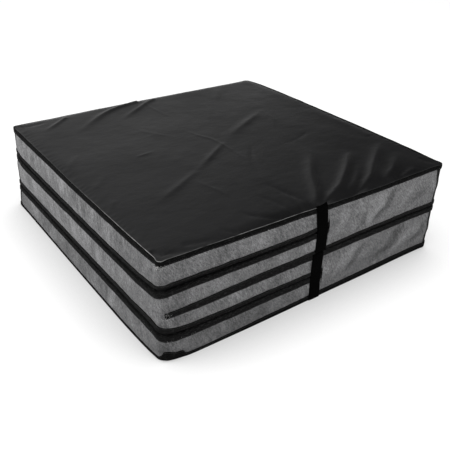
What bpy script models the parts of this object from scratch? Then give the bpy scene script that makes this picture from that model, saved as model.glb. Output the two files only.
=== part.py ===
# A folding crash mat, folded twice into a square block: four foam panels in one sewn cover.
# The block stands on its bottom panel, with its front to -Y. Each panel is a firm and a soft
# foam slab between two coated sheets, with a mesh gusset round its edge and bound seams.
# Panel 1 is the top of the block and panel 4 the bottom. Panels 1 and 2, and 3 and 4, hinge
# along the right half of the front; panels 2 and 3 hinge along the whole left side.

import math

import bmesh
import bpy

# Driving dimensions, in metres
BLOCK_WIDTH = 0.750
BLOCK_DEPTH = 0.750
BLOCK_HEIGHT = 0.230
PANELS = 4
CORNER_RADIUS = 0.020
INNER_RADIUS = 0.007

CLEARANCE = 0.0003
SHEET_THICKNESS = 0.0008
GUSSET_THICKNESS = 0.0010
FIRM_FOAM_THICKNESS = 0.015

BINDING_THICKNESS = 0.0012
BINDING_HEIGHT = 0.011
BINDING_FLANGE = 0.007
BINDING_BEND = 0.0006

BAND_WIDTH = 0.029
BAND_THICKNESS = 0.0012
BAND_X = 0.003
LOWER_BAND_SHIFT = -0.004
BINDING_TAIL = 0.004

EDGE_DROP = 0.0035
EDGE_REACH = 0.060
EDGE_RING = 0.4
TOP_CROWN = 0.0065
TOP_CROWN_POWER = 2.5
TOP_RINGS = 8
TOP_RING_POWER = 1.6
TOP_FLAT = 0.075
BELLY = 0.0015
BELLY_POWER = 6
SWELL_SHARES = (0.35, 0.65)
BACK_DRAW_IN = 0.0025

ZIP_LENGTH = 0.600
ZIP_TAPE_HEIGHT = 0.024
ZIP_TAPE_THICKNESS = 0.0008
ZIP_SLOT_HEIGHT = 0.008
ZIP_SLOT_INSET = 0.010
ZIP_END_ROOM = 0.003
ROW_GAP = 0.0005
COIL_HEIGHT = 0.005
COIL_RISE = 0.0010
SLIDER_LENGTH = 0.010
SLIDER_HEIGHT = 0.009
SLIDER_WALL = 0.0012
SLIDER_START = 0.012
BAIL_LENGTH = 0.0064
BAIL_WIDTH = 0.0022
BAIL_WIRE = 0.0010
PULL_LENGTH = 0.026
PULL_HEIGHT = 0.007
PULL_THICKNESS = 0.0012
METAL_BEVEL = 0.0003

STRAIGHT_STEPS = 4
HALF_SIDE_STEPS = 3
CORNER_STEPS = 3
SLOT_ROW = 3
SHARP_ANGLE = 40

# Sizes that follow from them
PITCH = (BLOCK_HEIGHT + CLEARANCE) / PANELS
PANEL_THICKNESS = PITCH - CLEARANCE
GUSSET_DEPTH = BINDING_THICKNESS + CLEARANCE
SHEET_DEPTH = GUSSET_DEPTH + GUSSET_THICKNESS + CLEARANCE
BOUND_HEIGHT = BINDING_HEIGHT - BINDING_THICKNESS
BAND_REACH = BAND_THICKNESS + CLEARANCE
ZIP_TAPE_DEPTH = GUSSET_DEPTH + BACK_DRAW_IN - CLEARANCE - ZIP_TAPE_THICKNESS
COIL_DEPTH = ZIP_TAPE_DEPTH - COIL_RISE
SLIDER_DEPTH = COIL_DEPTH - CLEARANCE - SLIDER_WALL
PULL_SPACE = PULL_THICKNESS + 2 * CLEARANCE
BAIL_DEPTH = SLIDER_DEPTH - PULL_SPACE - BAIL_WIRE
ZIP_REACH = -BAIL_DEPTH
FRONT_Y = -BLOCK_DEPTH / 2 + BAND_REACH
BACK_Y = BLOCK_DEPTH / 2 - ZIP_REACH
CENTRE = (0.0, (FRONT_Y + BACK_Y) / 2)
HALF = (BLOCK_WIDTH / 2, (BACK_Y - FRONT_Y) / 2)
TOP_REACH = min(HALF) - TOP_FLAT / 2

FRONT, LEFT, BACK, RIGHT = range(4)
FACING = ((0, -1), (-1, 0), (0, 1), (1, 0))
HINGE_FRONT_Y = -BLOCK_DEPTH / 2 - CLEARANCE
HINGE_LEFT_X = -BLOCK_WIDTH / 2 - CLEARANCE


def clear_scene():
    for thing in list(bpy.data.objects):
        bpy.data.objects.remove(thing)


def material(name, colour, roughness, metallic=0.0):
    made = bpy.data.materials.new(name)
    made.use_nodes = True
    shader = made.node_tree.nodes["Principled BSDF"]
    shader.inputs["Base Color"].default_value = (*colour, 1.0)
    shader.inputs["Roughness"].default_value = roughness
    shader.inputs["Metallic"].default_value = metallic
    return made


def build_object(name, parent, finish, vertices, faces, origin=(0.0, 0.0, 0.0)):
    """One named object from its corner points, with its own origin and its faces pointing out."""
    mesh = bpy.data.meshes.new(name)
    moved = [tuple(p - o for p, o in zip(point, origin)) for point in vertices]
    mesh.from_pydata(moved, [], faces)
    solid = bmesh.new()
    solid.from_mesh(mesh)
    bmesh.ops.recalc_face_normals(solid, faces=solid.faces)
    solid.to_mesh(mesh)
    solid.free()
    mesh.materials.append(finish)
    mesh.shade_smooth()
    mesh.set_sharp_from_angle(angle=math.radians(SHARP_ANGLE))
    thing = bpy.data.objects.new(name, mesh)
    bpy.context.scene.collection.objects.link(thing)
    thing.location = origin
    attach(thing, parent)
    return thing


def attach(thing, parent):
    """Parents one object to an empty without moving it."""
    thing.parent = parent
    thing.matrix_parent_inverse = parent.matrix_world.inverted()
    bpy.context.view_layer.update()


def empty(name, place, parent=None):
    made = bpy.data.objects.new(name, None)
    made.empty_display_size = 0.03
    bpy.context.scene.collection.objects.link(made)
    made.location = place
    bpy.context.view_layer.update()
    if parent is not None:
        attach(made, parent)
    return made


# The panel's outline. A station is (side, along, turn): along runs from -1 to 1 over the
# straight part of a side, clockwise from above, and turn from 0 to 1 round the corner after it.


def straight(side, start=-1.0, stop=1.0, steps=STRAIGHT_STEPS):
    return [(side, start + (stop - start) * i / steps, 0.0) for i in range(steps + 1)]


def corner(side):
    return [(side, 1.0, i / CORNER_STEPS) for i in range(1, CORNER_STEPS)]


def back_reach():
    """Where the back side's straight part ends, which a long zip moves out into the corner."""
    return max(1.0, along_back(ZIP_LENGTH / 2 + ZIP_END_ROOM))


def back_side():
    """The back side, with a station at each end of the zip and of its slot."""
    half, reach = ZIP_LENGTH / 2, back_reach()
    ends = [-half, -half + ZIP_SLOT_INSET, half - ZIP_SLOT_INSET, half]
    return [(BACK, -reach, 0.0)] + [(BACK, along_back(x), 0.0) for x in ends] + [(BACK, reach, 0.0)]


def whole_outline():
    runs = {FRONT: straight(FRONT), LEFT: straight(LEFT), BACK: back_side(), RIGHT: straight(RIGHT)}
    return [station for side in range(4) for station in runs[side] + corner(side)]


def along_front(x):
    """The along value of a point on the front side, which runs towards -X."""
    return -x / (HALF[0] - CORNER_RADIUS)


def along_back(x):
    return x / (HALF[0] - CORNER_RADIUS)


def normal_at(station):
    side, _, turn = station
    here, ahead = FACING[side], FACING[(side + 1) % 4]
    c, s = math.cos(turn * math.pi / 2), math.sin(turn * math.pi / 2)
    return tuple(c * h + s * a for h, a in zip(here, ahead))


def place(station, depth):
    """The plan position of a station on the outline drawn in by depth."""
    side, along, _ = station
    radius = max(CORNER_RADIUS - depth, INNER_RADIUS)
    here, ahead = FACING[side], FACING[(side + 1) % 4]
    normal = normal_at(station)
    return tuple(
        CENTRE[i] + (here[i] + ahead[i] * along) * (HALF[i] - depth - radius) + normal[i] * radius
        for i in (0, 1)
    )


def side_swell(station):
    """How far a gusset stands proud of its seams here: out on three sides, in where the zips are."""
    side, along, turn = station
    if turn > 0:
        return 0.0
    if side == BACK:
        zip_end, reach = along_back(ZIP_LENGTH / 2), back_reach()
        return -BACK_DRAW_IN * min(1.0, (reach - abs(along)) / (reach - zip_end))
    return BELLY * (1 - abs(along) ** BELLY_POWER)


def strip(name, parent, finish, stations, outer, inner, closed=False, is_open=lambda i, k: False):
    """A band along part of the outline. outer and inner give its section's two sides at a station,
    as points (depth, height) from bottom to top; is_open(i, k) leaves a window in a cell."""
    vertices = []
    for station in stations:
        for depth, height in outer(station) + inner(station):
            vertices.append((*place(station, depth), height))
    rows = len(outer(stations[0]))
    size = 2 * rows
    cells = len(stations) if closed else len(stations) - 1

    def point(i, k, is_inner):
        return (i % len(stations)) * size + k + (rows if is_inner else 0)

    def missing(i, k):
        inside = 0 <= i < cells and 0 <= k < rows - 1
        return not inside or is_open(i, k)

    faces = []
    for i in range(cells):
        for k in range(rows - 1):
            if missing(i, k):
                continue
            for is_inner in (False, True):
                loop = [(i, k), (i + 1, k), (i + 1, k + 1), (i, k + 1)]
                faces.append([point(a, b, is_inner) for a, b in loop])
            edges = {
                (i, k - 1): [(i, k), (i + 1, k)],
                (i, k + 1): [(i, k + 1), (i + 1, k + 1)],
                (i - 1, k): [(i, k), (i, k + 1)],
                (i + 1, k): [(i + 1, k), (i + 1, k + 1)],
            }
            for (near_i, near_k), (a, b) in edges.items():
                if closed and 0 <= near_k < rows - 1:
                    near_i %= cells
                if missing(near_i, near_k):
                    faces.append([point(*a, False), point(*b, False), point(*b, True), point(*a, True)])
    return build_object(name, parent, finish, vertices, faces)


def dish(name, parent, finish, upper, lower, shape=lambda station: 0.0):
    """A slab over the whole outline. upper and lower are rings of (depth, height), rim first."""
    stations = whole_outline()
    rings = upper[::-1] + lower
    vertices = [
        (*place(station, depth + shape(station)), height) for depth, height in rings for station in stations
    ]
    count = len(stations)
    faces = [list(range(count)), list(range(count * (len(rings) - 1), count * len(rings)))]
    for ring in range(len(rings) - 1):
        for i in range(count):
            j = (i + 1) % count
            start, after = ring * count, (ring + 1) * count
            faces.append([start + i, start + j, after + j, after + i])
    return build_object(name, parent, finish, vertices, faces)


# The faces of a panel fall away towards their seams


def drop(depth, domed):
    """How far a panel's face lies below its highest level at this distance from the seam."""
    if domed:
        return TOP_CROWN * max(0.0, 1 - depth / TOP_REACH) ** TOP_CROWN_POWER
    return EDGE_DROP * max(0.0, 1 - depth / EDGE_REACH) ** 2


def ring_depths(first, domed):
    if domed:
        shares = [(i / TOP_RINGS) ** TOP_RING_POWER for i in range(TOP_RINGS + 1)]
        return [first + (TOP_REACH - first) * share for share in shares]
    return [first, EDGE_REACH * EDGE_RING, EDGE_REACH]


def face_rings(level, facing, first, offset, domed):
    """Rings of a face at this level, facing 1 for up or -1 for down, set in from it by offset."""
    return [
        (depth, level - facing * (drop(depth, domed) + offset)) for depth in ring_depths(first, domed)
    ]


class Panel:
    def __init__(self, number, firm_on_top):
        self.number = number
        self.name = f"panel_{number}"
        self.bottom = (PANELS - number) * PITCH
        self.top = self.bottom + PANEL_THICKNESS
        self.domed = number == 1
        self.firm_on_top = firm_on_top
        self.band_x = BAND_X + (LOWER_BAND_SHIFT if number > 2 else 0.0)
        self.tail_x = self.band_x + BAND_WIDTH / 2 + BINDING_TAIL
        self.top_seam = self.top - drop(SHEET_DEPTH, self.domed)
        self.bottom_seam = self.bottom + drop(SHEET_DEPTH, False)
        self.middle = (self.bottom_seam + self.top_seam) / 2


def make_sheets(panel, parent, finish):
    for where, level, facing, domed in (
        ("upper", panel.top, 1, panel.domed),
        ("lower", panel.bottom, -1, False),
    ):
        outside = face_rings(level, facing, SHEET_DEPTH, 0.0, domed)
        inside = face_rings(level, facing, SHEET_DEPTH, SHEET_THICKNESS, domed)
        pair = (outside, inside) if facing > 0 else (inside, outside)
        dish(f"{panel.name}_{where}_sheet", parent, finish, *pair)


def make_foam(panel, parent, firm, soft):
    """The two slabs, one on the other, under the sheets."""
    cover = SHEET_THICKNESS + CLEARANCE

    def back_hollow(station):
        return max(0.0, -side_swell(station))

    ceiling = face_rings(panel.top, 1, SHEET_DEPTH, cover, panel.domed)
    floor = face_rings(panel.bottom, -1, SHEET_DEPTH, cover, False)
    if panel.firm_on_top:
        split = panel.top - EDGE_DROP - cover - FIRM_FOAM_THICKNESS
    else:
        split = panel.bottom + EDGE_DROP + cover + FIRM_FOAM_THICKNESS
    below = [(SHEET_DEPTH, split - CLEARANCE / 2)]
    above = [(SHEET_DEPTH, split + CLEARANCE / 2)]
    upper_name, lower_name = ("firm", "soft") if panel.firm_on_top else ("soft", "firm")
    finishes = {"firm": firm, "soft": soft}
    slabs = ((upper_name, ceiling, above), (lower_name, below, floor))
    for kind, upper, lower in slabs:
        dish(f"{panel.name}_{kind}_foam", parent, finishes[kind], upper, lower, back_hollow)


def gusset_section(low, high, fold_low=False, fold_high=False, slot_middle=None):
    """The two sides of a gusset from low to high. It swells between its bindings, and up to a fold.
    Where it is drawn in for a zip, the draw-in begins in time to clear the tape's edge."""

    def rows(station):
        bound, half, edge = BOUND_HEIGHT, ZIP_SLOT_HEIGHT / 2, ZIP_TAPE_HEIGHT / 2 + CLEARANCE
        if slot_middle is not None:
            tape_edge = (high - low) / 2 - edge
            if station[0] == BACK and station[2] == 0:
                bound = min(bound, tape_edge - ROW_GAP)
            else:
                edge = min(edge, (high - low) / 2 - bound - ROW_GAP)
        first = [(low, 1.0)] if fold_low else [(low, 0.0), (low + bound, 0.0)]
        last = [(high, 1.0)] if fold_high else [(high - bound, 0.0), (high, 0.0)]
        if slot_middle is None:
            between = [(low + (high - low) * share, 1.0) for share in SWELL_SHARES]
        else:
            between = [(slot_middle + step, 1.0) for step in (-edge, -half, half, edge)]
        return first + between + last

    def outer(station):
        return [(GUSSET_DEPTH - side_swell(station) * swell, height) for height, swell in rows(station)]

    def inner(station):
        return [(depth + GUSSET_THICKNESS, height) for depth, height in outer(station)]

    return outer, inner


def make_gussets(panel, parent, finish):
    """The cover's side walls. A fold wall runs on past the hinge plane; the rest end at a seam."""
    seam_gap = CLEARANCE / 2 / (HALF[0] - CORNER_RADIUS)
    seam = along_front(panel.tail_x) - seam_gap
    corner_gap = CLEARANCE / (HALF[1] - CORNER_RADIUS)
    folds_up = panel.number in (2, 4)
    low, high = panel.bottom_seam, panel.top_seam
    if folds_up:
        front_fold_section = gusset_section(low, panel.top, fold_high=True)
    else:
        front_fold_section = gusset_section(panel.bottom, high, fold_low=True)
    if panel.number == 2:
        side_fold_section = gusset_section(panel.bottom, high, fold_low=True)
    else:
        side_fold_section = gusset_section(low, panel.top, fold_high=True)

    fold_front = corner(RIGHT) + straight(FRONT, -1.0, seam - seam_gap, HALF_SIDE_STEPS)
    slit_front = straight(FRONT, seam + seam_gap, 1.0, HALF_SIDE_STEPS)
    rear = back_side() + corner(BACK) + straight(RIGHT, -1.0, 1.0 - corner_gap)
    slit_section = gusset_section(low, high, slot_middle=panel.middle)
    strip(f"{panel.name}_front_fold_gusset", parent, finish, fold_front, *front_fold_section)

    if panel.number in (1, 4):
        run = slit_front + corner(FRONT) + straight(LEFT) + corner(LEFT) + rear
        pieces = [("gusset", run, slit_section)]
    else:
        join = 1.0 - corner_gap
        side_fold = corner(FRONT) + straight(LEFT) + corner(LEFT)
        pieces = [
            ("front_gusset", slit_front[:-1] + [(FRONT, join, 0.0)], gusset_section(low, high)),
            ("side_fold_gusset", side_fold, side_fold_section),
            ("rear_gusset", rear, slit_section),
        ]
    slot_stations = back_side()[2:4]
    for title, run, section in pieces:

        def in_slot(i, k, run=run):
            return k == SLOT_ROW and [run[i], run[i + 1]] == slot_stations

        strip(f"{panel.name}_{title}", parent, finish, run, *section, is_open=in_slot)


def binding_section(seam, facing, domed):
    """A bound edge: tape down the wall and back over the face, facing 1 for a top edge."""
    out = seam + facing * (CLEARANCE + BINDING_THICKNESS)
    flange_depth = SHEET_DEPTH + BINDING_FLANGE
    rise = drop(SHEET_DEPTH, domed) - drop(flange_depth, domed)
    end = out + facing * rise
    outer_line = [
        (0.0, out - facing * BINDING_HEIGHT),
        (0.0, out - facing * BINDING_BEND),
        (BINDING_BEND, out),
        (SHEET_DEPTH, out),
        (flange_depth, end),
    ]
    wall, thick = BINDING_THICKNESS, facing * BINDING_THICKNESS
    inner_line = [
        (wall, out - facing * BINDING_HEIGHT),
        (wall, out - thick - facing * BINDING_BEND),
        (wall + BINDING_BEND, out - thick),
        (SHEET_DEPTH, out - thick),
        (flange_depth, end - thick),
    ]
    return (lambda station: outer_line), (lambda station: inner_line)


def make_bindings(panel, parent, finish):
    """The tapes on the panel's upper and lower seams. None runs along a fold."""
    tail = along_front(panel.tail_x)
    slit = straight(FRONT, tail, 1.0, HALF_SIDE_STEPS) + corner(FRONT) + straight(LEFT) + corner(LEFT)
    around_front_fold = slit + back_side() + corner(BACK) + straight(RIGHT)
    around_side_fold = back_side() + corner(BACK) + straight(RIGHT) + corner(RIGHT) + straight(FRONT)
    runs = {
        1: (whole_outline(), around_front_fold),
        2: (around_front_fold, around_side_fold),
        3: (around_side_fold, around_front_fold),
        4: (around_front_fold, whole_outline()),
    }[panel.number]
    edges = (("upper", panel.top_seam, 1, panel.domed), ("lower", panel.bottom_seam, -1, False))
    for (where, seam, facing, domed), run in zip(edges, runs):
        section = binding_section(seam, facing, domed)
        whole = run == whole_outline()
        strip(f"{panel.name}_{where}_binding", parent, finish, run, *section, closed=whole)


def make_band(panel, parent, finish):
    """Half of the webbing that covers the end of a pair's slit, from the hinge plane to a binding."""
    if panel.number in (1, 3):
        low, high = panel.bottom, panel.top_seam - BOUND_HEIGHT
    else:
        low, high = panel.bottom_seam + BOUND_HEIGHT, panel.top
    run = [(FRONT, along_front(panel.band_x + side * BAND_WIDTH / 2), 0.0) for side in (1, -1)]
    outer_line = [(-BAND_REACH, low), (-BAND_REACH, high)]
    inner_line = [(-CLEARANCE, low), (-CLEARANCE, high)]
    strip(
        f"{panel.name}_band", parent, finish, run,
        lambda station: outer_line, lambda station: inner_line,
    )  # fmt: skip


# The zips on the back wall. Their metal pieces are placed across the tape by heights above it.


def block(name, low, high):
    """A closed box from its low corner to its high corner."""
    mesh = bpy.data.meshes.new(name)
    solid = bmesh.new()
    for vertex in bmesh.ops.create_cube(solid, size=1.0)["verts"]:
        vertex.co = [a + (b - a) * (c + 0.5) for a, b, c in zip(low, high, vertex.co)]
    solid.to_mesh(mesh)
    solid.free()
    thing = bpy.data.objects.new(name, mesh)
    bpy.context.scene.collection.objects.link(thing)
    return thing


def combine(body, other, operation):
    """Joins or cuts one block with another and keeps the result as the body's own mesh."""
    change = body.modifiers.new(operation, "BOOLEAN")
    change.operation = operation
    change.object = other
    bpy.context.view_layer.update()
    evaluated = body.evaluated_get(bpy.context.evaluated_depsgraph_get())
    result = bpy.data.meshes.new_from_object(evaluated)
    body.modifiers.clear()
    body.data = result
    bpy.data.objects.remove(other)


def finish_block(thing, finish, parent, origin):
    """Gives a metal piece its origin, its finish and small bevels."""
    for vertex in thing.data.vertices:
        vertex.co = [c - o for c, o in zip(vertex.co, origin)]
    thing.data.materials.clear()
    thing.data.materials.append(finish)
    thing.location = origin
    soft_edges = thing.modifiers.new("edges", "BEVEL")
    soft_edges.width = METAL_BEVEL
    soft_edges.segments = 1
    soft_edges.limit_method = "ANGLE"
    attach(thing, parent)


def make_zip_tape(panel, parent, finish):
    """The tape with its coil as a ridge along the middle."""
    run = [(BACK, along_back(x), 0.0) for x in (-ZIP_LENGTH / 2, ZIP_LENGTH / 2)]
    edge, coil, crest = ZIP_TAPE_HEIGHT / 2, COIL_HEIGHT / 2, (COIL_HEIGHT - COIL_RISE) / 2
    half_section = [(COIL_DEPTH, crest), (ZIP_TAPE_DEPTH, coil), (ZIP_TAPE_DEPTH, edge)]
    section = [(depth, -rise) for depth, rise in half_section[::-1]] + half_section
    outer_line = [(depth, panel.middle + rise) for depth, rise in section]
    inner_line = [(ZIP_TAPE_DEPTH + ZIP_TAPE_THICKNESS, panel.middle + rise) for _, rise in section]
    sides = (lambda station: outer_line, lambda station: inner_line)
    strip(f"{panel.name}_zip", parent, finish, run, *sides)


def make_slider(panel, parent, finish):
    """A shell that straddles the coil, with a bail over it for the pull."""
    x, z = ZIP_LENGTH / 2 - SLIDER_START, panel.middle
    y_foot = BACK_Y - ZIP_TAPE_DEPTH + CLEARANCE
    y_shell = BACK_Y - SLIDER_DEPTH
    y_bail = BACK_Y - BAIL_DEPTH
    long, tall = SLIDER_LENGTH / 2, SLIDER_HEIGHT / 2
    groove = COIL_HEIGHT / 2 + CLEARANCE
    y_groove = BACK_Y - COIL_DEPTH + CLEARANCE
    bail_long, bail_tall = BAIL_LENGTH / 2, BAIL_WIDTH / 2
    eye_long = bail_long - BAIL_WIRE

    slider = block(f"{panel.name}_slider", (x - long, y_foot, z - tall), (x + long, y_shell, z + tall))
    channel_low = (x - SLIDER_LENGTH, y_foot - SLIDER_WALL, z - groove)
    combine(slider, block("channel", channel_low, (x + SLIDER_LENGTH, y_groove, z + groove)), "DIFFERENCE")
    bail_low = (x - bail_long, y_shell - SLIDER_WALL / 2, z - bail_tall)
    bail = block("bail", bail_low, (x + bail_long, y_bail, z + bail_tall))
    eye_high = (x + eye_long, y_bail - BAIL_WIRE, z + BAIL_WIDTH)
    combine(bail, block("eye", (x - eye_long, y_shell, z - BAIL_WIDTH), eye_high), "DIFFERENCE")
    combine(slider, bail, "UNION")
    finish_block(slider, finish, parent, tuple(parent.matrix_world.translation))


def make_pull(panel, parent, finish):
    """A flat tab whose end bar turns in the bail's eye."""
    x, y, z = parent.matrix_world.translation
    half, tall = PULL_THICKNESS / 2, PULL_HEIGHT / 2
    window = BAIL_WIDTH / 2 + CLEARANCE
    window_end = BAIL_LENGTH / 2 + 2 * CLEARANCE
    pull_low = (x - PULL_LENGTH, y - half, z - tall)
    pull = block(f"{panel.name}_pull", pull_low, (x + half, y + half, z + tall))
    hole_low = (x - window_end, y - PULL_THICKNESS, z - window)
    combine(pull, block("hole", hole_low, (x - half, y + PULL_THICKNESS, z + window)), "DIFFERENCE")
    finish_block(pull, finish, parent, (x, y, z))


def make_zip(panel, parent, tape_finish, metal):
    make_zip_tape(panel, parent, tape_finish)
    x = ZIP_LENGTH / 2 - SLIDER_START
    y_bar = BACK_Y - SLIDER_DEPTH + CLEARANCE + PULL_THICKNESS / 2
    slide = empty(f"{panel.name}_slider_place", (x, BACK_Y - COIL_DEPTH, panel.middle), parent)
    make_slider(panel, slide, metal)
    swing = empty(f"{panel.name}_pull_place", (x, y_bar, panel.middle), slide)
    make_pull(panel, swing, metal)


def main():
    clear_scene()
    vinyl = material("black_coated_sheet", (0.018, 0.018, 0.020), 0.42)
    mesh_cloth = material("grey_mesh", (0.16, 0.16, 0.165), 0.85)
    tape = material("black_woven_tape", (0.020, 0.020, 0.021), 0.80)
    firm = material("firm_foam", (0.30, 0.32, 0.35), 0.95)
    soft = material("soft_foam", (0.82, 0.78, 0.62), 0.95)
    zip_tape = material("black_zip_tape", (0.022, 0.022, 0.023), 0.75)
    metal = material("dark_zinc", (0.30, 0.30, 0.31), 0.35, 1.0)

    hinge_places = {
        4: (0.0, 0.0, 0.0),
        3: (0.0, HINGE_FRONT_Y, PITCH - CLEARANCE / 2),
        2: (HINGE_LEFT_X, 0.0, 2 * PITCH - CLEARANCE / 2),
        1: (0.0, HINGE_FRONT_Y, 3 * PITCH - CLEARANCE / 2),
    }
    parent = None
    for number in (4, 3, 2, 1):
        parent = empty(f"panel_{number}_place", hinge_places[number], parent)
        panel = Panel(number, firm_on_top=number in (2, 4))
        make_foam(panel, parent, firm, soft)
        make_sheets(panel, parent, vinyl)
        make_gussets(panel, parent, mesh_cloth)
        make_bindings(panel, parent, tape)
        make_band(panel, parent, tape)
        make_zip(panel, parent, zip_tape, metal)


main()
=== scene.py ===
import bisect
import math
import random

import bpy
from mathutils import Matrix, Quaternion, Vector, noise


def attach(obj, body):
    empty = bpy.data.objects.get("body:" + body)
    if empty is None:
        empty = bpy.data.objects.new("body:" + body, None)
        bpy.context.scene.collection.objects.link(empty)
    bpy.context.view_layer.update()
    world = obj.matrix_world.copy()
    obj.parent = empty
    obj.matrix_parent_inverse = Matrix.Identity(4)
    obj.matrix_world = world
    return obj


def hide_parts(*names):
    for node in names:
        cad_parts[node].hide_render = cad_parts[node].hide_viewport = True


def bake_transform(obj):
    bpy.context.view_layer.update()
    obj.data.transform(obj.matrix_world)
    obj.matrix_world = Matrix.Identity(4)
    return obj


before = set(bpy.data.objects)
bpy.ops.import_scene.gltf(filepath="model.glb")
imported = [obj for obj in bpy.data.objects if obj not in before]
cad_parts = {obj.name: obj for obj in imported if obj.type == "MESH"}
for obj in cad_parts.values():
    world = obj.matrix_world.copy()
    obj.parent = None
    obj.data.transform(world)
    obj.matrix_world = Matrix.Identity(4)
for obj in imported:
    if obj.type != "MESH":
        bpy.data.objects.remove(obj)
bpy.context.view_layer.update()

MM = 0.001

# Sizes shared with the CAD model, in metres
PITCH = 0.057575
CLEARANCE = 0.0003
PANEL_TOP = {n: (5 - n) * PITCH - CLEARANCE for n in (1, 2, 3, 4)}
PANEL_BOTTOM = {n: (4 - n) * PITCH for n in (1, 2, 3, 4)}
CENTRE = (0.0, -0.00045)
HALF = (0.375, 0.37305)
CORNER_RADIUS = 0.020
INNER_RADIUS = 0.007
GUSSET_DEPTH = 0.0015
SHEET_DEPTH = 0.0028
EDGE_REACH = 0.060
TAPE_THICKNESS = 0.0013
FLANGE = 0.008
BAND_WIDTH = 0.029
BAND_X = {1: 0.003, 3: -0.001}
HINGE_FRONT_Y = -0.3753
HINGE_LEFT_X = -0.3753
ZIP_LENGTH = 0.600
ZIP_TAPE_HEIGHT = 0.024
ZIP_TAPE_DEPTH = 0.0029
ZIP_TAPE_THICKNESS = 0.0008
ZIP_SLOT_HEIGHT = 0.008
ZIP_SLOT_INSET = 0.010
COIL_RISE = 0.0010
COIL_HALF = 0.0025
BACK_DRAW_IN = 0.0025

FRONT, LEFT, BACK, RIGHT = range(4)
FACING = ((0, -1), (-1, 0), (0, 1), (1, 0))
ARC = CORNER_RADIUS * math.pi / 2
STRAIGHT = [2 * (HALF[0 if side % 2 == 0 else 1] - CORNER_RADIUS) for side in range(4)]


def clamp(value, low=0.0, high=1.0):
    return max(low, min(high, value))


def smooth(value):
    value = clamp(value)
    return value * value * (3 - 2 * value)


def fade(depth, reach):
    """1 at the rim, falling softly to 0 at reach."""
    return 1 - smooth(depth / reach)


# The outline. t runs clockwise from above, one unit a side, from the middle of the front right
# corner: front 0 to 1, left 1 to 2, back 2 to 3, right 3 to 4.


def station(t):
    t %= 4
    side = int(t)
    arc, run = ARC, STRAIGHT[side]
    pos = (t - side) * (run + arc)
    if pos < arc / 2:
        return (side - 1) % 4, 1.0, 0.5 + pos / arc
    if pos < arc / 2 + run:
        return side, -1.0 + 2 * (pos - arc / 2) / run, 0.0
    return side, 1.0, (pos - arc / 2 - run) / arc


def t_of(side, along, turn=0.0):
    run = STRAIGHT[side]
    return side + (ARC / 2 + (along + 1) / 2 * run + turn * ARC) / (run + ARC)


def normal_at(t):
    side, _, turn = station(t)
    here, ahead = FACING[side], FACING[(side + 1) % 4]
    c, s = math.cos(turn * math.pi / 2), math.sin(turn * math.pi / 2)
    return c * here[0] + s * ahead[0], c * here[1] + s * ahead[1]


def plan(t, depth):
    """The plan position on the outline drawn in by depth."""
    side, along, turn = station(t)
    radius = max(CORNER_RADIUS - depth, INNER_RADIUS)
    here, ahead = FACING[side], FACING[(side + 1) % 4]
    normal = normal_at(t)
    return tuple(
        CENTRE[i] + (here[i] + ahead[i] * along) * (HALF[i] - depth - radius) + normal[i] * radius
        for i in (0, 1)
    )


def where(x, y):
    """(t, depth) of a plan position."""
    px, py = x - CENTRE[0], y - CENTRE[1]
    qx, qy = abs(px) - (HALF[0] - CORNER_RADIUS), abs(py) - (HALF[1] - CORNER_RADIUS)
    if qx > 0 and qy > 0:
        depth = CORNER_RADIUS - math.hypot(qx, qy)
        side = {(1, -1): RIGHT, (-1, -1): FRONT, (-1, 1): LEFT, (1, 1): BACK}[
            (1 if px > 0 else -1, 1 if py > 0 else -1)
        ]
        first = qy if side in (FRONT, BACK) else qx
        other = qx if side in (FRONT, BACK) else qy
        return t_of(side, 1.0, math.atan2(other, first) / (math.pi / 2)), depth
    depth = CORNER_RADIUS - max(qx, qy)
    if qx > qy:
        side, along_axis, own = (RIGHT if px > 0 else LEFT), 1, py
    else:
        side, along_axis, own = (BACK if py > 0 else FRONT), 0, px
    length = HALF[along_axis] - CORNER_RADIUS - max(0.0, depth - (CORNER_RADIUS - INNER_RADIUS))
    ahead = FACING[(side + 1) % 4][along_axis]
    return t_of(side, clamp(own * ahead / max(length, 1e-4), -1, 1)), depth


def t_front(x):
    return t_of(FRONT, -x / (HALF[0] - CORNER_RADIUS))


def t_back(x):
    return t_of(BACK, x / (HALF[0] - CORNER_RADIUS))


class Round:
    """A soft line through (t, value) pairs that closes on itself round the outline.

    The values are in thousandths: millimetres, or shares of 1.
    """

    def __init__(self, *pairs):
        before = [(t - 4, value) for t, value in pairs[-2:]]
        after = [(t + 4, value) for t, value in pairs[:2]]
        self.ts, self.vs = zip(*before, *pairs, *after)

    def slope(self, i):
        return (self.vs[i + 1] - self.vs[i - 1]) / (self.ts[i + 1] - self.ts[i - 1])

    def __call__(self, t):
        t %= 4
        i = min(max(bisect.bisect_right(self.ts, t) - 1, 1), len(self.ts) - 3)
        span = self.ts[i + 1] - self.ts[i]
        s = (t - self.ts[i]) / span
        a, b = self.vs[i], self.vs[i + 1]
        limit = 1.5 * abs(b - a)
        ma, mb = (clamp(self.slope(n) * span, -limit, limit) for n in (i, i + 1))
        value = a + (b - a) * s**2 * (3 - 2 * s) + ma * s * (1 - s) ** 2 - mb * s**2 * (1 - s)
        return value * MM


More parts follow.
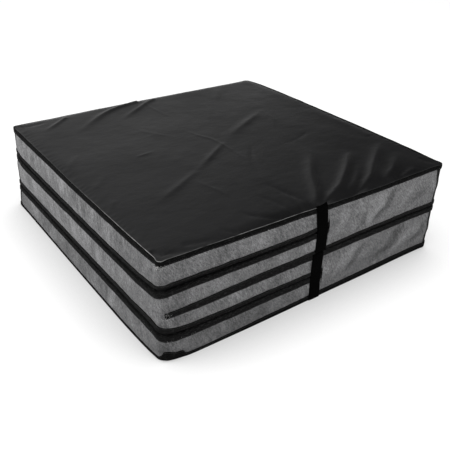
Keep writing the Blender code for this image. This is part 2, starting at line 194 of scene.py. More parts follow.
class Fold:
    """A soft ridge or groove along a smooth line of crest points, narrower towards its crest."""

    def __init__(self, height, width, *points):
        ends = [points[0], *points, points[-1]]
        self.line = []
        for a, b, c, d in zip(ends, ends[1:], ends[2:], ends[3:]):
            for s in (0, 0.25, 0.5, 0.75):
                self.line.append(tuple(
                    0.5 * (2 * b[i] + (c[i] - a[i]) * s + (2 * a[i] - 5 * b[i] + 4 * c[i] - d[i]) * s**2
                           + (3 * b[i] - a[i] - 3 * c[i] + d[i]) * s**3)
                    for i in (0, 1)
                ))
        self.line.append(points[-1])
        self.height, self.width = height, width
        self.start = 0.05 if max(abs(points[0][0]), abs(points[0][1])) > FOLD_FROM_RIM else 0.35
        self.low = [min(p[i] for p in self.line) - 3 * width for i in (0, 1)]
        self.high = [max(p[i] for p in self.line) + 3 * width for i in (0, 1)]

    def at(self, x, y):
        if not (self.low[0] < x < self.high[0] and self.low[1] < y < self.high[1]):
            return 0.0
        best, along = 1e9, 0.0
        for i, (a, b) in enumerate(zip(self.line, self.line[1:])):
            dx, dy = b[0] - a[0], b[1] - a[1]
            s = clamp(((x - a[0]) * dx + (y - a[1]) * dy) / max(dx * dx + dy * dy, 1e-9))
            gap = math.hypot(x - a[0] - s * dx, y - a[1] - s * dy)
            if gap < best:
                best, along = gap, (i + s) / (len(self.line) - 1)
        ends = smooth(along / self.start) * smooth((1 - along) / 0.5)
        width = self.width * (0.75 + 0.5 * along)
        return self.height * ends * math.exp(-((best / width) ** 1.6))


def wobble(t, seed, size, features=12):
    """A small unevenness along the outline that closes on itself."""
    angle = t * math.pi / 2
    return size * noise.noise(Vector((math.cos(angle) * features, math.sin(angle) * features, seed * 3.7)))


# How the stacked block has settled: the height of each level between panels against the CAD's,
# how far the wall leans out there, and half the opening between two seams. Level 0 is the top
# seam and level 4 the bottom one.
LEVEL_RISE = {
    1: Round(
        (0.0, 0), (0.4, -3), (0.5, -6.5), (0.56, -9.4), (0.87, -9), (0.96, -8.5), (1.0, -11), (1.05, -16.5),
        (1.12, -19.5), (1.2, -21.5), (1.3, -23.5), (1.5, -25), (1.7, -25), (1.9, -23.5), (1.98, -23.5),
        (2.02, -20), (2.06, -10), (2.11, -4), (2.3, -1), (2.6, 0), (3.0, 0), (3.5, 0),
    ),
    2: Round(
        (0.0, 2), (0.33, 2.5), (0.45, 0.8), (0.56, -2.7), (0.7, -3.5), (0.87, -6.6), (0.96, -6.4),
        (1.02, -5), (1.12, -1), (1.5, 0), (2.0, 0), (3.0, 0), (3.5, 1),
    ),
    3: Round(
        (0.0, 0), (0.5, 2), (0.56, 3), (0.87, 0.8), (0.95, 2), (1.0, 7), (1.05, 11), (1.12, 10.5),
        (1.3, 8.5), (1.58, 5.5), (1.83, 4), (1.95, 3), (2.1, 1), (2.5, 0), (3.0, 0), (3.5, 0),
    ),
}
LEVEL_OUT = {
    0: Round(
        (0.0, 1.5), (0.03, -4.5), (0.25, -5.5), (0.5, -7), (0.75, -7.5), (0.972, -8), (1.0, -3.5),
        (1.028, -8.5), (1.25, -8.5), (1.5, -8), (1.75, -8), (1.97, -10.5), (2.0, -8.5), (2.03, -8),
        (2.1, -7.5), (2.5, -6.5), (2.9, -8), (2.97, -8), (3.0, -5), (3.03, -4), (3.2, 0), (3.5, 0),
        (3.8, 0.5), (3.97, -2),
    ),
    1: Round(
        (0.0, 1), (0.06, -0.5), (0.25, 0), (0.5, 0.8), (0.75, 1.2), (0.96, 0), (1.02, -2), (1.1, 0),
        (1.5, 0), (1.9, 0), (1.96, -4.5), (2.0, -9), (2.1, 0), (2.5, 0), (3.0, -1), (3.5, 0),
    ),
    2: Round(
        (0.0, 0.8), (0.06, -0.5), (0.25, 0), (0.5, -0.4), (0.75, -1.2), (0.9, -1.2), (0.96, -0.8),
        (1.02, -1), (1.1, 0), (1.5, 0), (1.9, 0), (2.0, -6), (2.1, 0), (2.5, 0), (3.0, -1), (3.5, 0),
    ),
    3: Round(
        (0.0, 0.5), (0.06, -2), (0.25, -0.5), (0.5, 1), (0.75, 1.2), (0.95, 0), (1.02, -3), (1.1, -3),
        (1.5, -3), (1.9, -3), (2.0, -3.5), (2.1, -1), (2.5, 0), (3.0, -2), (3.5, 0),
    ),
    4: Round(
        (0.0, 0), (0.04, -1.5), (0.12, -2), (0.3, 0.5), (0.5, 1.4), (0.75, 3.4), (0.9, 3.4), (0.96, 1.0),
        (1.0, -4.5), (1.06, -2), (1.2, 1), (1.5, 1.5), (1.9, 1.5), (2.0, 2), (2.1, 0), (2.5, 0), (3.0, -2),
        (3.5, 0),
    ),
}
OPENING = {
    1: Round(
        (0.0, 3.6), (0.5, 4.2), (0.8, 5.4), (0.94, 6.6), (1.05, 6.2), (1.3, 5.2), (1.9, 5.2), (2.1, 3.8),
        (3.0, 3.6), (3.5, 3.4),
    ),
    2: Round(
        (0.0, 4.4), (0.3, 4.4), (0.45, 3.6), (0.56, 1.0), (0.8, 0.5), (0.97, 0.4), (1.5, 2.6), (2.0, 2.6),
        (2.2, 3.2), (3.0, 3.8),
    ),
    3: Round(
        (0.0, 3.6), (0.5, 3.4), (0.85, 4.2), (0.97, 5.8), (1.05, 6.8), (1.3, 6.0), (1.9, 5.4), (2.1, 3.8),
        (3.0, 3.6), (3.5, 3.4),
    ),
}
TOP_RIM = Round(
    (0.0, 219.5), (0.05, 219.5), (0.12, 218.8), (0.2, 217.5), (0.29, 216.2), (0.45, 216.4), (0.57, 218.6),
    (0.75, 219), (0.87, 220), (0.97, 221), (1.0, 221.6), (1.05, 220.4), (1.12, 218.4), (1.28, 216.6),
    (1.47, 216.2), (1.58, 217.2), (1.69, 219), (1.9, 217.8), (2.0, 214.5), (2.1, 214.6), (2.5, 215.6),
    (2.9, 214.6), (3.0, 215), (3.1, 218.4), (3.5, 220.8), (3.9, 220.4),
)
BOTTOM_RIM = Round(
    (0.0, 4), (0.1, 3), (0.4, 2), (0.6, 0.8), (0.75, 0.3), (0.9, 0.4), (1.0, 4.2), (1.1, 2), (1.5, 1.8),
    (2.0, 2.6), (2.5, 2), (3.0, 3), (3.5, 2.2),
)

# How far each seam's tape comes down or up the wall, and how far the top one comes over the sheet
TAPE_TALL = {
    (1, "upper"): Round(
        (0.0, 11), (0.1, 11.5), (0.3, 11), (0.45, 11.5), (0.6, 12), (0.9, 11.5), (1.0, 12), (1.1, 14),
        (1.5, 14.5), (1.9, 15), (2.1, 12), (3.0, 11), (3.5, 11),
    ),
    (1, "lower"): Round(
        (0.0, 10), (0.5, 8.6), (0.8, 7.6), (0.94, 6.6), (1.05, 7.4), (1.3, 8), (1.9, 8.2), (2.1, 10),
        (3.0, 10), (3.5, 10),
    ),
    (2, "upper"): Round(
        (0.0, 11), (0.5, 11), (0.8, 10), (0.95, 9.6), (1.05, 11), (1.2, 9.4), (1.5, 10), (1.6, 12.6),
        (1.9, 13.8), (2.1, 10.5), (3.0, 10), (3.5, 10),
    ),
    (2, "lower"): Round(
        (0.0, 9.8), (0.15, 8.8), (0.3, 7.6), (0.45, 7), (0.56, 8.6), (0.7, 8.6), (0.87, 7.4), (0.97, 6.2),
        (1.5, 11), (2.0, 11), (3.0, 10), (3.5, 10),
    ),
    (3, "upper"): Round(
        (0.0, 11), (0.3, 12.4), (0.45, 12), (0.56, 11.8), (0.7, 12), (0.87, 11), (0.97, 9), (1.5, 11),
        (2.0, 11), (3.0, 10), (3.5, 10),
    ),
    (3, "lower"): Round(
        (0.0, 10), (0.5, 9.4), (0.93, 10), (1.02, 14), (1.15, 11.2), (1.5, 10.4), (1.9, 11), (2.1, 10),
        (3.0, 10), (3.5, 10),
    ),
    (4, "upper"): Round(
        (0.0, 11), (0.5, 12.8), (0.95, 12.2), (1.1, 11), (1.5, 10.4), (1.9, 10.6), (2.1, 10), (3.0, 10),
        (3.5, 10),
    ),
    (4, "lower"): Round(
        (0.0, 15), (0.2, 16), (0.45, 14), (0.56, 12.5), (0.7, 11.5), (0.8, 9), (0.91, 7.5), (0.932, 8),
        (0.940, 15), (0.95, 17), (0.96, 16), (0.972, 19), (0.984, 22), (0.994, 21), (1.002, 12), (1.02, 6),
        (1.5, 5), (1.9, 6), (2.1, 11), (3.0, 11), (3.5, 11),
    ),
}
USUAL_TAPE = Round((0.0, 11), (1.0, 11), (2.0, 11), (3.0, 11))
OVER_TOP = Round(
    (0.0, 0), (0.5, 0), (1.0, 0), (1.9, 0), (1.965, 0), (1.99, 4.5), (2.1, 4.5), (2.5, 4), (2.97, 4),
    (3.5, 4), (3.9, 3.5), (3.97, 0),
)

# Painted light and shade on the mesh along each wall between two levels, as a share of its colour: lighter
# on the left walls, darker round the front left corner and on the lowest panel; and a painted highlight
# along the top sheet's cut edge
PAINTED_WALL_LIGHT = {
    0: Round(
        (0.0, 1020), (0.5, 1020), (0.6, 1000), (0.85, 920), (0.97, 800), (1.02, 760), (1.08, 800),
        (1.3, 1040), (1.9, 1080), (2.2, 1000), (3.0, 1000), (3.8, 1000),
    ),
    1: Round(
        (0.0, 1020), (0.5, 1000), (0.6, 980), (0.9, 960), (1.02, 920), (1.1, 1020), (1.9, 1160),
        (2.2, 1000), (3.0, 1000), (3.8, 1000),
    ),
    2: Round(
        (0.0, 930), (0.5, 960), (0.6, 1000), (0.9, 980), (1.02, 940), (1.1, 1020), (1.9, 1160), (2.2, 1000),
        (3.0, 1000), (3.8, 960),
    ),
    3: Round(
        (0.0, 930), (0.5, 900), (0.6, 800), (0.9, 740), (1.02, 780), (1.1, 860), (1.9, 900), (2.2, 960),
        (3.0, 1000), (3.8, 960),
    ),
}
PAINTED_EDGE_HIGHLIGHT = Round(
    (0.0, 20), (0.4, 20), (0.5, 240), (0.55, 520), (0.78, 560), (0.84, 220), (0.97, 400), (1.0, 900),
    (1.1, 850), (1.25, 600), (1.38, 250), (1.5, 90), (1.9, 60), (2.5, 50), (3.5, 50),
)

# Folds as soft crests, in millimetres: height, width, then points along the crest. Those on the
# top are placed by x and y, those in the front's mesh by x and height.
FOLD_FROM_RIM = 336
TOP_FOLDS = [Fold(*fold) for fold in (
    (4.2, 12, (-6, -366), (14, -338), (72, -256), (123, -198), (172, -144)),
    (4.8, 10, (8, -374), (64, -343), (139, -290), (203, -237), (235, -206)),
    (1.6, 8, (85, -362), (137, -325), (220, -255)),
    (4.6, 10.5, (92, -382), (156, -346), (228, -290), (301, -237), (350, -202)),
    (2.8, 10, (196, -362), (259, -322), (330, -269)),
    (2.6, 6, (238, -371), (273, -362), (306, -357)),
    (-1.8, 7, (353, -322), (352, -366)),
    (-2.4, 6, (-11, -366), (-16, -330), (-28, -285), (-43, -228)),
    (-1.4, 4, (-40, -368), (-42, -345), (-40, -318)),
    (-1.5, 5, (-100, -371), (-134, -340), (-158, -296)),
    (-1.3, 5, (-200, -369), (-226, -333)),
    (-0.8, 6, (-62, -366), (-72, -310), (-90, -260)),
    (4.4, 9, (-20, 350), (-70, 338), (-133, 309), (-195, 266), (-266, 208)),
    (3.0, 6, (-232, 338), (-272, 303), (-316, 271)),
    (3.2, 8, (30, 346), (-47, 294), (-130, 238)),
    (-2.0, 6, (-345, 326), (-285, 332)),
    (2.2, 12, (232, 112), (165, 76), (115, 48), (58, 15), (10, -20)),
    (2.0, 8, (22, -12), (-30, -46), (-77, -79), (-150, -128)),
    (1.5, 9, (-120, -108), (-202, -155), (-275, -192)),
    (0.7, 4, (-157, -144), (-145, -190), (-137, -221), (-132, -262)),
    (1.1, 4.5, (-206, 18), (-178, 21), (-152, 26)),
    (0.8, 4, (-12, 345), (-17, 270), (-4, 175)),
    (1.0, 4, (-34, 112), (-16, 50), (0, 2), (1, -94), (-4, -190)),
    (-2.6, 7, (-372, -330), (-345, -352), (-300, -376)),
    (-1.6, 6, (-306, -348), (-240, -366)),
    (1.0, 12, (345, -170), (350, -60), (335, 70)),
    (1.2, 14, (160, 230), (240, 340)),
    (0.9, 9, (-345, -70), (-292, -20)),
    (0.9, 8, (-350, 50), (-300, 104)),
    (0.8, 6, (-362, -160), (-330, -130)),
    (0.6, 7, (60, 120), (110, 190), (118, 250)),
    (0.6, 6, (180, 0), (215, 60), (225, 130)),
    (0.4, 5, (-60, 60), (-110, 130), (-130, 190)),
    (-0.6, 6, (240, -60), (180, -90), (90, -100)),
    (-0.8, 5, (60, -60), (10, -130), (-10, -190)),
)]
FRONT_FOLDS = [Fold(*fold) for fold in (
    (-3.4, 9, (150, 124), (162, 142), (186, 164), (203, 183), (226, 206), (233, 226)),
    (2.6, 11, (118, 130), (148, 158), (180, 186), (216, 212)),
    (-1.8, 7, (108, 126), (120, 145), (138, 172)),
    (-1.6, 10, (250, 130), (290, 156), (326, 184), (344, 208)),
    (1.2, 10, (40, 135), (62, 165), (70, 200)),
    (-2.8, 9, (84, 26), (106, 53), (137, 84), (168, 108)),
    (-3.4, 12, (160, 12), (186, 35), (215, 52), (259, 77), (310, 96)),
    (2.0, 11, (240, 34), (270, 60), (326, 94)),
    (2.2, 11, (44, 32), (64, 54), (100, 87), (150, 112)),
    (-1.6, 7, (10, 92), (40, 104), (85, 116)),
    (-2.0, 9, (282, 24), (322, 52), (352, 78)),
)]

LIP = 0.0013
TOP_CROWN = 226.5 * MM
CROWN_DROP = 2.5 * MM
CROWN_EDGE = 0.032
PUCKER_REACH = 0.022
SETTLE_REACH = 0.140
SHOULDER = 0.0045
CLOTH_THICKNESS = 0.8 * MM
CUT_EDGE = 1.0 * MM


def level_plane(k):
    """The CAD's height between panel k and the panel below it."""
    return (4 - k) * PITCH - CLEARANCE / 2


def level_height(k, t):
    return level_plane(k) + LEVEL_RISE[k](t) + wobble(t, k, 1.2 * MM)


def level_of(panel, edge):
    return panel - 1 if edge == "upper" else panel


def top_rim(t):
    return TOP_RIM(t) + wobble(t, 9, 0.7 * MM)


def top_height(x, y, t, depth):
    """The top sheet: a low crown that falls to the rim, with its folds, grain and puckers at the seam."""
    rim = top_rim(t) + LIP
    u, v = clamp(abs(x) / HALF[0]), clamp(abs(y) / HALF[1])
    crown = TOP_CROWN - CROWN_DROP * (u**2 + v**2)
    edge = 1 - (1 - clamp((depth - CUT_EDGE) / CROWN_EDGE)) ** 2.2
    lies = crown * edge + rim * (1 - edge)
    folds = sum(f.at(x / MM, y / MM) for f in TOP_FOLDS) * MM
    broad, fine = (noise.noise(Vector(at)) for at in ((x * 9, y * 9, 1.0), (x * 30, y * 22, 4.0)))
    grain = broad * 0.9 + fine * 0.25
    pucker = math.sin(t * 260 + 3 * math.sin(t * 31)) * 0.35
    pucker *= fade(depth, PUCKER_REACH) * smooth(depth / 0.006)
    return lies + (folds + (grain + pucker) * MM) * smooth(depth / 0.005)


def face_height(panel, edge, x, y):
    """The height of a panel's upper or lower sheet."""
    t, depth = where(x, y)
    if (panel, edge) == (1, "upper"):
        return top_height(x, y, t, depth)
    rim = max(0.0, 1 - depth / EDGE_REACH) ** 2
    if (panel, edge) == (4, "lower"):
        return BOTTOM_RIM(t) * rim
    k = level_of(panel, edge)
    facing = 1 if edge == "lower" else -1
    spread = 1.4 * max(0.0, depth - SHEET_DEPTH)
    shares = (-1, -0.5, 0, 0.5, 1) if spread else (0,)
    settled = sum(level_height(k, t + share * spread) for share in shares) / len(shares) - level_plane(k)
    drop = CLEARANCE / 2 + OPENING[k](t) * rim
    return level_plane(k) + settled * fade(depth, SETTLE_REACH) + facing * drop


def seam_height(panel, edge, t):
    if (panel, edge) == (1, "upper"):
        return top_rim(t)
    return face_height(panel, edge, *plan(t, SHEET_DEPTH))


def level_z(k, t):
    ends = {0: TOP_RIM, 4: BOTTOM_RIM}
    return ends[k](t) if k in ends else level_height(k, t)


def zip_zone(t):
    """1 along the zips, where the wall is drawn in, falling to 0 past their ends."""
    side, along, turn = station(t)
    if side != BACK or turn > 0:
        return 0.0
    end = (ZIP_LENGTH / 2 + 0.003) / (HALF[0] - CORNER_RADIUS)
    return smooth((1 - abs(along)) / (1 - end))


def wall_out(t, z):
    """How far the stacked wall stands out of the CAD's outline here."""
    heights = [level_z(k, t) for k in range(5)]
    outs = [LEVEL_OUT[k](t) for k in range(5)]
    if z >= heights[0]:
        return outs[0]
    for k in range(4):
        if z >= heights[k + 1]:
            s = (z - heights[k + 1]) / (heights[k] - heights[k + 1])
            if k == 0:
                late = clamp((z - heights[0] + SHOULDER) / SHOULDER) ** 1.5
                s += (late - s) * zip_zone(t)
            return outs[k + 1] + (outs[k] - outs[k + 1]) * s
    return outs[4]


# Making pieces


def collect(name, vertices, faces, finish, slot, uvs=None, **marks):
    """A mesh piece. Marks are named numbers, one a point, that its material reads."""
    mesh = bpy.data.meshes.new(name)
    mesh.from_pydata(vertices, [], faces)
    if uvs is not None:
        layer = mesh.uv_layers.new(name="along")
        for loop in mesh.loops:
            layer.data[loop.index].uv = uvs[loop.vertex_index]
    for mark, values in marks.items():
        mesh.attributes.new(mark, "FLOAT", "POINT").data.foreach_set("value", values)
    mesh.materials.append(finish)
    mesh.shade_smooth()
    piece = bpy.data.objects.new(name, mesh)
    bpy.context.scene.collection.objects.link(piece)
    return piece


def thicken(piece, thickness, offset=-1.0):
    change = piece.modifiers.new("thickness", "SOLIDIFY")
    change.thickness = thickness
    change.offset = offset


def quads(lines, size, loop=False, closed=False, flip=False):
    """Faces between lines of points. Loop joins each line's ends, closed the last line to the first."""
    faces = []
    for i in range(lines if closed else lines - 1):
        j = (i + 1) % lines
        for k in range(size if loop else size - 1):
            m = (k + 1) % size
            quad = [i * size + k, i * size + m, j * size + m, j * size + k]
            faces.append(quad[::-1] if flip else quad)
    return faces


def end_caps(lines, size, flip=False):
    first = list(range(size))
    last = [(lines - 1) * size + k for k in first]
    return [first, last[::-1]] if flip else [first[::-1], last]


def shifted(faces, by):
    return [[by + v for v in face] for face in faces]


def run_of(t0, t1, step=0.007, corner_step=0.003, also=()):
    """Values of t from t0 to t1, closer together round the corners."""
    out = [t0]
    while out[-1] < t1 - 1e-9:
        _, along, turn = station(out[-1])
        near = turn > 0 or abs(along) > 0.995
        out.append(min(t1, out[-1] + (corner_step if near else step) / 0.74))
    if len(out) > 2 and out[-1] - out[-2] < 0.3 * step:
        del out[-2]
    for t in also:
        nearest = min(range(len(out)), key=lambda i: abs(out[i] - t))
        out[nearest] = t
    return out


def length_at(t):
    """Roughly how far along the outline t is, in metres."""
    return t * (STRAIGHT[0] + ARC)


def apart(t, other):
    """How far two places on the outline are apart, the short way round."""
    return abs((t - other + 2) % 4 - 2)


def cloth_lines(half, spacing, rim=(0, 0.0012, 0.0024, 0.0045, 0.0075, 0.012, 0.0175, 0.024, 0.032, 0.042)):
    near = [half - d for d in rim]
    inner = near[-1]
    count = max(2, int(round(2 * inner / spacing)))
    middle = [-inner + 2 * inner * i / count for i in range(1, count)]
    return [-v for v in near] + middle + near[::-1]


def rounded(x, y, hx, hy, radius):
    """Draws the corners of a square grid in to a round corner."""
    a, b = (abs(x) - (hx - radius)) / radius, (abs(y) - (hy - radius)) / radius
    if a <= 0 or b <= 0:
        return x, y
    ra, rb = a * math.sqrt(1 - b * b / 2), b * math.sqrt(1 - a * a / 2)
    return math.copysign(hx - radius + ra * radius, x), math.copysign(hy - radius + rb * radius, y)


def cloth_grid(spacing, inset=0.0):
    """Plan positions of a sheet over the whole panel, before its rim is moved out or in."""
    hx, hy = HALF[0] - SHEET_DEPTH - inset, HALF[1] - SHEET_DEPTH - inset
    radius = CORNER_RADIUS - SHEET_DEPTH - min(inset, 0.008)
    xs, ys = cloth_lines(hx, spacing), cloth_lines(hy, spacing)
    square = [rounded(x, y, hx, hy, radius) for y in ys for x in xs]
    return len(xs), len(ys), [(x + CENTRE[0], y + CENTRE[1]) for x, y in square]


CORNER_RIM = 6 * MM


def moved_out(x, y, out_of, deep=0.050):
    """Moves a sheet's point with the rim beside it: less towards the middle and on a corner's diagonal."""
    t, depth = where(x, y)
    if depth > deep + SHEET_DEPTH:
        return x, y
    within = max(0.0, depth - SHEET_DEPTH)
    aside = abs(HALF[0] - abs(x - CENTRE[0]) - HALF[1] + abs(y - CENTRE[1]))
    calm = (within - CORNER_RIM) / (CORNER_RADIUS - SHEET_DEPTH - CORNER_RIM)
    shift = out_of(t) * fade(within, deep) * clamp(1 - calm + aside / CORNER_RADIUS)
    n = normal_at(t)
    return x + n[0] * shift, y + n[1] * shift


def make_cover(panel, edge, finish):
    """One coated sheet of a panel. The top one runs out over the seam and ends in a cut edge."""
    top = (panel, edge) == (1, "upper")
    fine = 0.0036
    over = SHEET_DEPTH - 0.4 * MM if top else 0.0
    nx, ny, points = cloth_grid(fine if top else 0.012, -over)
    vertices, painted_edge_highlight = [], []
    for x, y in points:
        px, py = moved_out(x, y, LEVEL_OUT[level_of(panel, edge)])
        vertices.append((px, py, face_height(panel, edge, x, y)))
        if top:
            t, depth = where(x, y)
            patch = clamp(0.75 + 1.2 * noise.noise(Vector((px * 60, py * 60, 2.0))))
            # painted highlight along the top sheet's cut edge, in patches
            painted_edge_highlight.append(PAINTED_EDGE_HIGHLIGHT(t) * patch if depth < CUT_EDGE else 0.0)
    marks = {"painted_edge_highlight": painted_edge_highlight} if top else {}
    faces = quads(ny, nx, flip=edge == "lower")
    piece = collect(f"panel_{panel}_{edge}_cover", vertices, faces, finish, "coated_sheet", **marks)
    thicken(piece, CLOTH_THICKNESS)
    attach(piece, f"panel_{panel}")
    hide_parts(f"panel_{panel}_{edge}_sheet")


PAD_INSET = 0.0045
PAD_SPACING = 0.018
PAD_ROUNDING = 2.2 * MM
PAD_SWELL = 1.2 * MM


def make_pad(panel, kind, upper, lower, finish):
    """A foam slab between two height functions of plan position."""
    nx, ny, points = cloth_grid(PAD_SPACING, PAD_INSET)

    def drawn(t):
        return min(LEVEL_OUT[panel - 1](t), LEVEL_OUT[panel](t), 0.0) - BACK_DRAW_IN * zip_zone(t)

    vertices = []
    for side in (upper, lower):
        for x, y in points:
            _, depth = where(x, y)
            lip = PAD_ROUNDING * (1 - clamp((depth - SHEET_DEPTH - PAD_INSET) / 0.010)) ** 2
            vertices.append((*moved_out(x, y, drawn), side(x, y) + (-lip if side is upper else lip)))
    count, last = nx * ny, (ny - 1) * nx
    faces = quads(ny, nx) + shifted(quads(ny, nx, flip=True), count)
    ring = [*range(nx), *range(2 * nx - 1, count, nx)]
    ring += [*range(count - 2, last - 1, -1), *range(last - nx, 0, -nx)]
    rows = [ring]
    for share in (0.25, 0.5, 0.75):
        first = len(vertices)
        for a in ring:
            point = Vector(vertices[a]).lerp(Vector(vertices[count + a]), share)
            n = normal_at(where(point.x, point.y)[0])
            swell = PAD_SWELL * math.sin(share * math.pi)
            vertices.append((point.x + n[0] * swell, point.y + n[1] * swell, point.z))
        rows.append(list(range(first, first + len(ring))))
    rows.append([count + a for a in ring])
    for above, below in zip(rows, rows[1:]):
        for i in range(len(ring)):
            j = (i + 1) % len(ring)
            faces.append([above[j], above[i], below[i], below[j]])
    piece = collect(f"panel_{panel}_{kind}_pad", vertices, faces, finish, f"{kind}_foam")
    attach(piece, f"panel_{panel}")
    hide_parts(f"panel_{panel}_{kind}_foam")


PAD_GAP = 3.0 * MM
PAD_SPLIT = 0.3 * MM


def make_pads(panel, finishes):
    """A firm and a soft slab between a panel's two sheets. The firm one is on the landing side."""
    firm_on_top = panel in (2, 4)
    top_gap = PAD_GAP + (3.0 * MM if panel == 1 else 0.0)

    def ceiling(x, y):
        return face_height(panel, "upper", x, y) - top_gap

    def floor(x, y):
        return face_height(panel, "lower", x, y) + PAD_GAP

    def split(x, y):
        share = 0.68 if firm_on_top else 0.32
        return floor(x, y) + (ceiling(x, y) - floor(x, y)) * share

    above, below = ("firm", "soft") if firm_on_top else ("soft", "firm")
    make_pad(panel, above, ceiling, lambda x, y: split(x, y) + PAD_SPLIT, finishes[above])
    make_pad(panel, below, lambda x, y: split(x, y) - PAD_SPLIT, floor, finishes[below])


# Walls

HINGE_GAP = {FRONT: -HINGE_FRONT_Y - HALF[1] + CENTRE[1], LEFT: -HINGE_LEFT_X - HALF[0]}
BEND_REACH = 0.020
SIDE_LINING_END = 1.90
HALF_GAP = 0.00005
WALL_SHARES = (0, 0.08, 0.16, 0.25, 0.36, 0.45, 0.55, 0.64, 0.75, 0.84, 0.92, 1)
HINGED_SHARES = tuple(i / 23 for i in range(24))
ZIP_ROWS = {4: -ZIP_TAPE_HEIGHT / 2 - 0.3 * MM, 5: -ZIP_SLOT_HEIGHT / 2, 6: ZIP_SLOT_HEIGHT / 2,
            7: ZIP_TAPE_HEIGHT / 2 + 0.3 * MM}
FIRST_ZIP_ROW, SLOT_ROW, LAST_ZIP_ROW = 4, 5, 7
DRAWN_ROWS = {2: 0.15, 3: 0.6, 4: 1, 5: 1, 6: 1, 7: 1, 8: 0.6, 9: 0.15}


def zip_middle(panel):
    return (PANEL_BOTTOM[panel] + PANEL_TOP[panel]) / 2


def zip_row_height(i, rows, z0, z1, middle):
    """The height of a wall's row i along a zip, where rows follow the zip's slot and tape."""
    if i < FIRST_ZIP_ROW:
        return z0 + (middle + ZIP_ROWS[FIRST_ZIP_ROW] - z0) * i / FIRST_ZIP_ROW
    if i > LAST_ZIP_ROW:
        above = middle + ZIP_ROWS[LAST_ZIP_ROW]
        return above + (z1 - above) * (i - LAST_ZIP_ROW) / (rows - 1 - LAST_ZIP_ROW)
    return middle + ZIP_ROWS[i]


def painted_wall_light(t, z):
    """The share of its colour that the mesh shows here: painted light and shade by wall and level."""
    return PAINTED_WALL_LIGHT[sum(z < level_z(k, t) for k in (1, 2, 3))](t)


def wall_folds(t, v, seed, slant, size):
    """Shallow folds in a wall that slant as they rise."""
    along = length_at(t) + slant * v
    broad = noise.noise(Vector((along * 22, v * 0.4, seed)))
    fine = noise.noise(Vector((along * 70, v * 0.9, seed + 5)))
    crease = max(0.0, noise.noise(Vector((along * 40, v * 0.3, seed + 9)))) ** 0.7
    return size * (broad * 1.1 + fine * 0.5 + crease * 0.8) * math.sin(clamp(v) * math.pi) ** 0.6


def painted_corner_shade(t):
    """Painted shade: 1 in a dark upright stripe on each rounded corner away from the front left one, where
    the wall turns out of view.
    """
    return max(1 - smooth((apart(t, seam) - 0.0135) / 0.004) for seam in (0.007, 1.983, 3.0))


def make_wall(name, t0, t1, low, high, finish, nodes, seed, slant=0.008, size=0.6 * MM, hinge=None, zipped=0,
              half=None):
    """A mesh wall from the low seam to the high one.

    With a hinge it spans two panels and bends there, or is its upper or lower half at a corner.
    """
    slot_end = ZIP_LENGTH / 2 - ZIP_SLOT_INSET
    slot = (t_back(-slot_end), t_back(slot_end)) if zipped else ()
    ts = run_of(t0, t1, 0.004 if hinge else 0.006, also=slot)
    shares = HINGED_SHARES if hinge else WALL_SHARES
    if half:
        shares = (*shares[::2], 1.0)
    rows = len(shares)
    plane, side = hinge or (0.0, None)
    vertices, uvs, talls, marks = [], [], [], {"shade": [], "fold": [], "painted_wall_light": []}
    for t in ts:
        z0, z1 = seam_height(*low, t), seam_height(*high, t)
        bottom = plane + HALF_GAP if half == "upper" else z0
        top = plane - HALF_GAP if half == "lower" else z1
        talls.append((plane if half == "lower" else z1) - (plane if half == "upper" else z0))
        zone = zip_zone(t) if zipped else 0.0
        tape = 0.9 * TAPE_TALL.get(low, USUAL_TAPE)(t) / (z1 - z0)
        for i, share in enumerate(shares):
            z = bottom + (top - bottom) * share
            v = (z - z0) / (z1 - z0)
            if zone:
                z += (zip_row_height(i, rows, z0, z1, zip_middle(zipped)) - z) * zone
            free = smooth((v - tape) / 0.14) * smooth((1 - tape - v) / 0.14)
            free *= clamp(min(apart(t, corner) for corner in (0, 2, 3)) / 0.03)
            folds = wall_folds(t, v, seed, slant, size)
            if side == FRONT:
                across, _ = plan(t, 0)
                folds = 0.6 * folds + 1.25 * MM * sum(f.at(across / MM, z / MM) for f in FRONT_FOLDS)
            out = wall_out(t, z)
            if hinge:
                off = clamp(abs(z - plane) / BEND_REACH)
                n = normal_at(t)
                facing = clamp(n[0] * FACING[side][0] + n[1] * FACING[side][1])
                bend = (1 - off * off) ** 2 * facing**4
                if side == LEFT:
                    bend *= 1 - 0.85 * smooth((t - SIDE_LINING_END) / 0.06)
                out += (1.2 * MM + folds) * free
                out += (GUSSET_DEPTH + HINGE_GAP[side] - out) * bend
            else:
                out += (1.0 * MM + folds) * free * (1 - zone) - BACK_DRAW_IN * zone * DRAWN_ROWS.get(i, 0)
            vertices.append((*plan(t, GUSSET_DEPTH - out), z))
            uvs.append((length_at(t), z))
            # shade: painted shade on the rounded corners
            marks["shade"].append(painted_corner_shade(t))
            # fold: painted shade in the folds' hollows and painted light on their crests
            marks["fold"].append(clamp(0.5 + 0.35 * folds * free / size))
            # painted light and shade by wall and level
            marks["painted_wall_light"].append(painted_wall_light(t, z))
    faces = quads(len(ts), rows)
    if zipped:
        open_lines = range(ts.index(slot[0]), ts.index(slot[1]))
        faces = [f for f in faces if f[0] % rows != SLOT_ROW or f[0] // rows not in open_lines]
    piece = collect(name, vertices, faces, finish, "gusset_mesh", uvs, **marks)
    thicken(piece, CLOTH_THICKNESS)
    if nodes:
        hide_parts(*nodes)
    return piece


